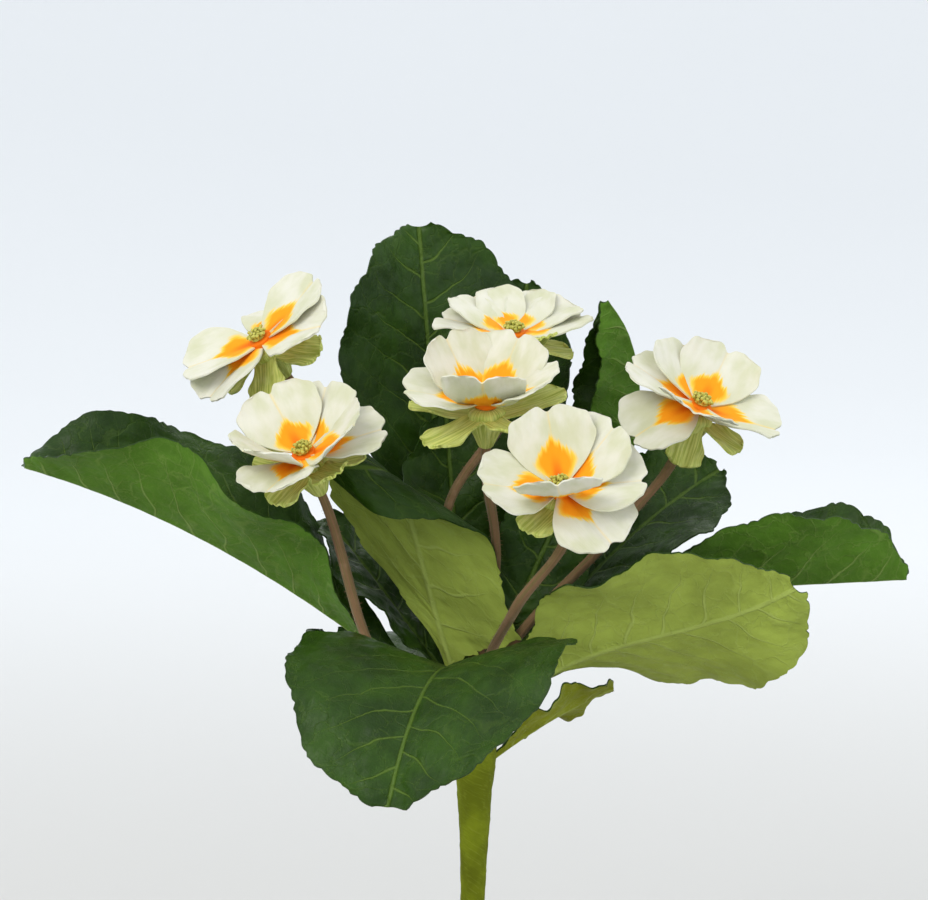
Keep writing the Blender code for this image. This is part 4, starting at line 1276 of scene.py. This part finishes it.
class PRIMROSE_OT_compost(bpy.types.Operator):
    """Build the compost, with its loose bark and grit"""

    bl_idname = "primrose.compost"
    bl_label = "Compost"

    def execute(self, context):
        settings = context.scene.primrose_pot
        build_soil(settings, compost_finish(settings))
        return {"FINISHED"}


class PRIMROSE_OT_stem(bpy.types.Operator):
    """Build the taped stem and its crown"""

    bl_idname = "primrose.stem"
    bl_label = "Taped Stem"

    def execute(self, context):
        build_stem(tape_finish(context.scene.primrose_pot))
        return {"FINISHED"}


class PRIMROSE_OT_leaves(bpy.types.Operator):
    """Build the fifteen toothed and veined leaves"""

    bl_idname = "primrose.leaves"
    bl_label = "Leaves"

    def execute(self, context):
        settings = context.scene.primrose_leaves
        vein = tuple(settings.vein_colour)
        green, shade = tuple(settings.top_colour), tuple(settings.shade_colour)
        top = leaf_finish("leaf_top_green", green, shade, vein, UPPER_FACE)
        undersides = {}
        # The pale and yellow undersides hold painted light shining through those leaves, besides their paler
        # tone.
        for tone in ("green", "pale", "yellow"):
            colour = tuple(getattr(settings, f"{tone}_under_colour"))
            shade = tuple(0.72 * value for value in colour)
            pale_vein = tuple((value + other) / 2 for value, other in zip(PALE_VEIN, colour))
            undersides[tone] = leaf_finish(f"leaf_under_{tone}", colour, shade, pale_vein, UNDERSIDE)
        for name, leaf in LEAVES.items():
            build_leaf(name, leaf, settings, [top, undersides[leaf.under]])
        return {"FINISHED"}


class PRIMROSE_OT_petals(bpy.types.Operator):
    """Build the painted petals of the six blooms"""

    bl_idname = "primrose.petals"
    bl_label = "Petals"

    def execute(self, context):
        return for_each_bloom(context, build_corolla, petal_finish)


class PRIMROSE_OT_calyxes(bpy.types.Operator):
    """Build the green calyxes below the petals"""

    bl_idname = "primrose.calyxes"
    bl_label = "Calyxes"

    def execute(self, context):
        return for_each_bloom(context, build_calyx, calyx_finish)


class PRIMROSE_OT_hearts(bpy.types.Operator):
    """Build the clusters of stubs in the middle of the blooms"""

    bl_idname = "primrose.hearts"
    bl_label = "Hearts"

    def execute(self, context):
        return for_each_bloom(context, build_heart, heart_finish)


class PRIMROSE_OT_stalks(bpy.types.Operator):
    """Build the fuzzy flower stalks"""

    bl_idname = "primrose.stalks"
    bl_label = "Flower Stalks"

    def execute(self, context):
        return for_each_bloom(context, build_stalk, stalk_finish)


def place_on_stage(name, data, location, rotation):
    """A lamp or a camera, placed in millimetres."""
    made = bpy.data.objects.new(name, data)
    made.location = Vector(location) * MM
    made.rotation_euler = rotation
    bpy.context.scene.collection.objects.link(made)
    return made


def add_sweep(finish):
    """A round floor that curves up into a backdrop all round."""
    profile = [(0, 0), (STAGE_FLAT_RADIUS, 0)]
    for angle in range(6, 91, 6):
        bend = math.radians(angle)
        out = STAGE_FLAT_RADIUS + STAGE_BEND_RADIUS * math.sin(bend)
        profile.append((out, STAGE_BEND_RADIUS * (1 - math.cos(bend))))
    points, faces = turned([*profile, (0, 0)], 96)
    open_faces = [face for face in faces if len(points) - 1 not in face]
    sweep = link_mesh("sweep", points, open_faces)
    sweep.data.flip_normals()
    sweep.data.shade_smooth()
    sweep.data.materials.append(finish)


def add_sky(settings):
    world = bpy.data.worlds.new("soft_sky")
    bpy.context.scene.world = world
    world.use_nodes = True
    sky = world.node_tree.nodes["Background"]
    sky.inputs["Color"].default_value = (*settings.sky_colour, 1.0)
    sky.inputs["Strength"].default_value = settings.sky_strength


def add_lamp(name, place, width, colour, power):
    """A square soft lamp, turned towards the plant."""
    lamp = bpy.data.lights.new(name, "AREA")
    lamp.size = width * MM
    lamp.energy = power
    lamp.color = colour
    aim = Vector(LAMP_TARGET) - Vector(place)
    place_on_stage(name, lamp, place, aim.to_track_quat("-Z", "Y").to_euler())


def add_camera():
    """The photograph's view: from in front, looking down a little."""
    camera = bpy.data.cameras.new("front_camera")
    camera.sensor_width = SENSOR_WIDTH
    camera.sensor_fit = "HORIZONTAL"
    camera.lens = SENSOR_WIDTH * CAMERA_DISTANCE / FRAME_WIDTH
    camera.clip_start, camera.clip_end = CAMERA_CLIP
    tilt = math.radians(CAMERA_ELEVATION)
    eye = Vector(CAMERA_TARGET) + Vector((0, -math.cos(tilt), math.sin(tilt))) * CAMERA_DISTANCE
    return place_on_stage("front_camera", camera, eye, (math.radians(90) - tilt, 0, 0))


class PRIMROSE_OT_stage(bpy.types.Operator):
    """Set up the pale sweep, the soft lamps and the camera"""

    bl_idname = "primrose.stage"
    bl_label = "Stage"

    def execute(self, context):
        settings = context.scene.primrose_stage
        add_sweep(backdrop_finish(settings))
        add_sky(settings)
        for name, lamp in LAMPS.items():
            add_lamp(f"{name}_lamp", *lamp, getattr(settings, f"{name}_power"))
        context.scene.camera = add_camera()
        context.scene.view_settings.view_transform = "Standard"
        return {"FINISHED"}


class PRIMROSE_PT_pieces(bpy.types.Panel):
    """The pieces of the primrose, in the order in which they are built"""

    bl_label = "Potted Primrose"
    bl_idname = "PRIMROSE_PT_pieces"
    bl_space_type = "VIEW_3D"
    bl_region_type = "UI"
    bl_category = "Primrose"

    def draw(self, context):
        for operator in OPERATORS:
            self.layout.operator(operator.bl_idname)
        for name in SETTINGS:
            box = self.layout.box()
            group = getattr(context.scene, name)
            for setting in group.bl_rna.properties.keys():
                if setting not in {"rna_type", "name"}:
                    box.prop(group, setting)


SETTINGS = {
    "primrose_leaves": PrimroseLeafSettings,
    "primrose_blooms": PrimroseBloomSettings,
    "primrose_pot": PrimrosePotSettings,
    "primrose_stage": PrimroseStageSettings,
}
OPERATORS = (
    PRIMROSE_OT_pot,
    PRIMROSE_OT_compost,
    PRIMROSE_OT_stem,
    PRIMROSE_OT_leaves,
    PRIMROSE_OT_stalks,
    PRIMROSE_OT_calyxes,
    PRIMROSE_OT_petals,
    PRIMROSE_OT_hearts,
    PRIMROSE_OT_stage,
)


def register():
    for group in SETTINGS.values():
        bpy.utils.register_class(group)
    for name, group in SETTINGS.items():
        setattr(bpy.types.Scene, name, PointerProperty(type=group))
    for operator in OPERATORS:
        bpy.utils.register_class(operator)
    bpy.utils.register_class(PRIMROSE_PT_pieces)


def unregister():
    bpy.utils.unregister_class(PRIMROSE_PT_pieces)
    for operator in reversed(OPERATORS):
        bpy.utils.unregister_class(operator)
    for name, group in SETTINGS.items():
        delattr(bpy.types.Scene, name)
        bpy.utils.unregister_class(group)


def main():
    register()
    bpy.ops.primrose.pot()
    bpy.ops.primrose.compost()
    bpy.ops.primrose.stem()
    bpy.ops.primrose.leaves()
    bpy.ops.primrose.stalks()
    bpy.ops.primrose.calyxes()
    bpy.ops.primrose.petals()
    bpy.ops.primrose.hearts()
    bpy.ops.primrose.stage()


if __name__ == "__main__":
    main()
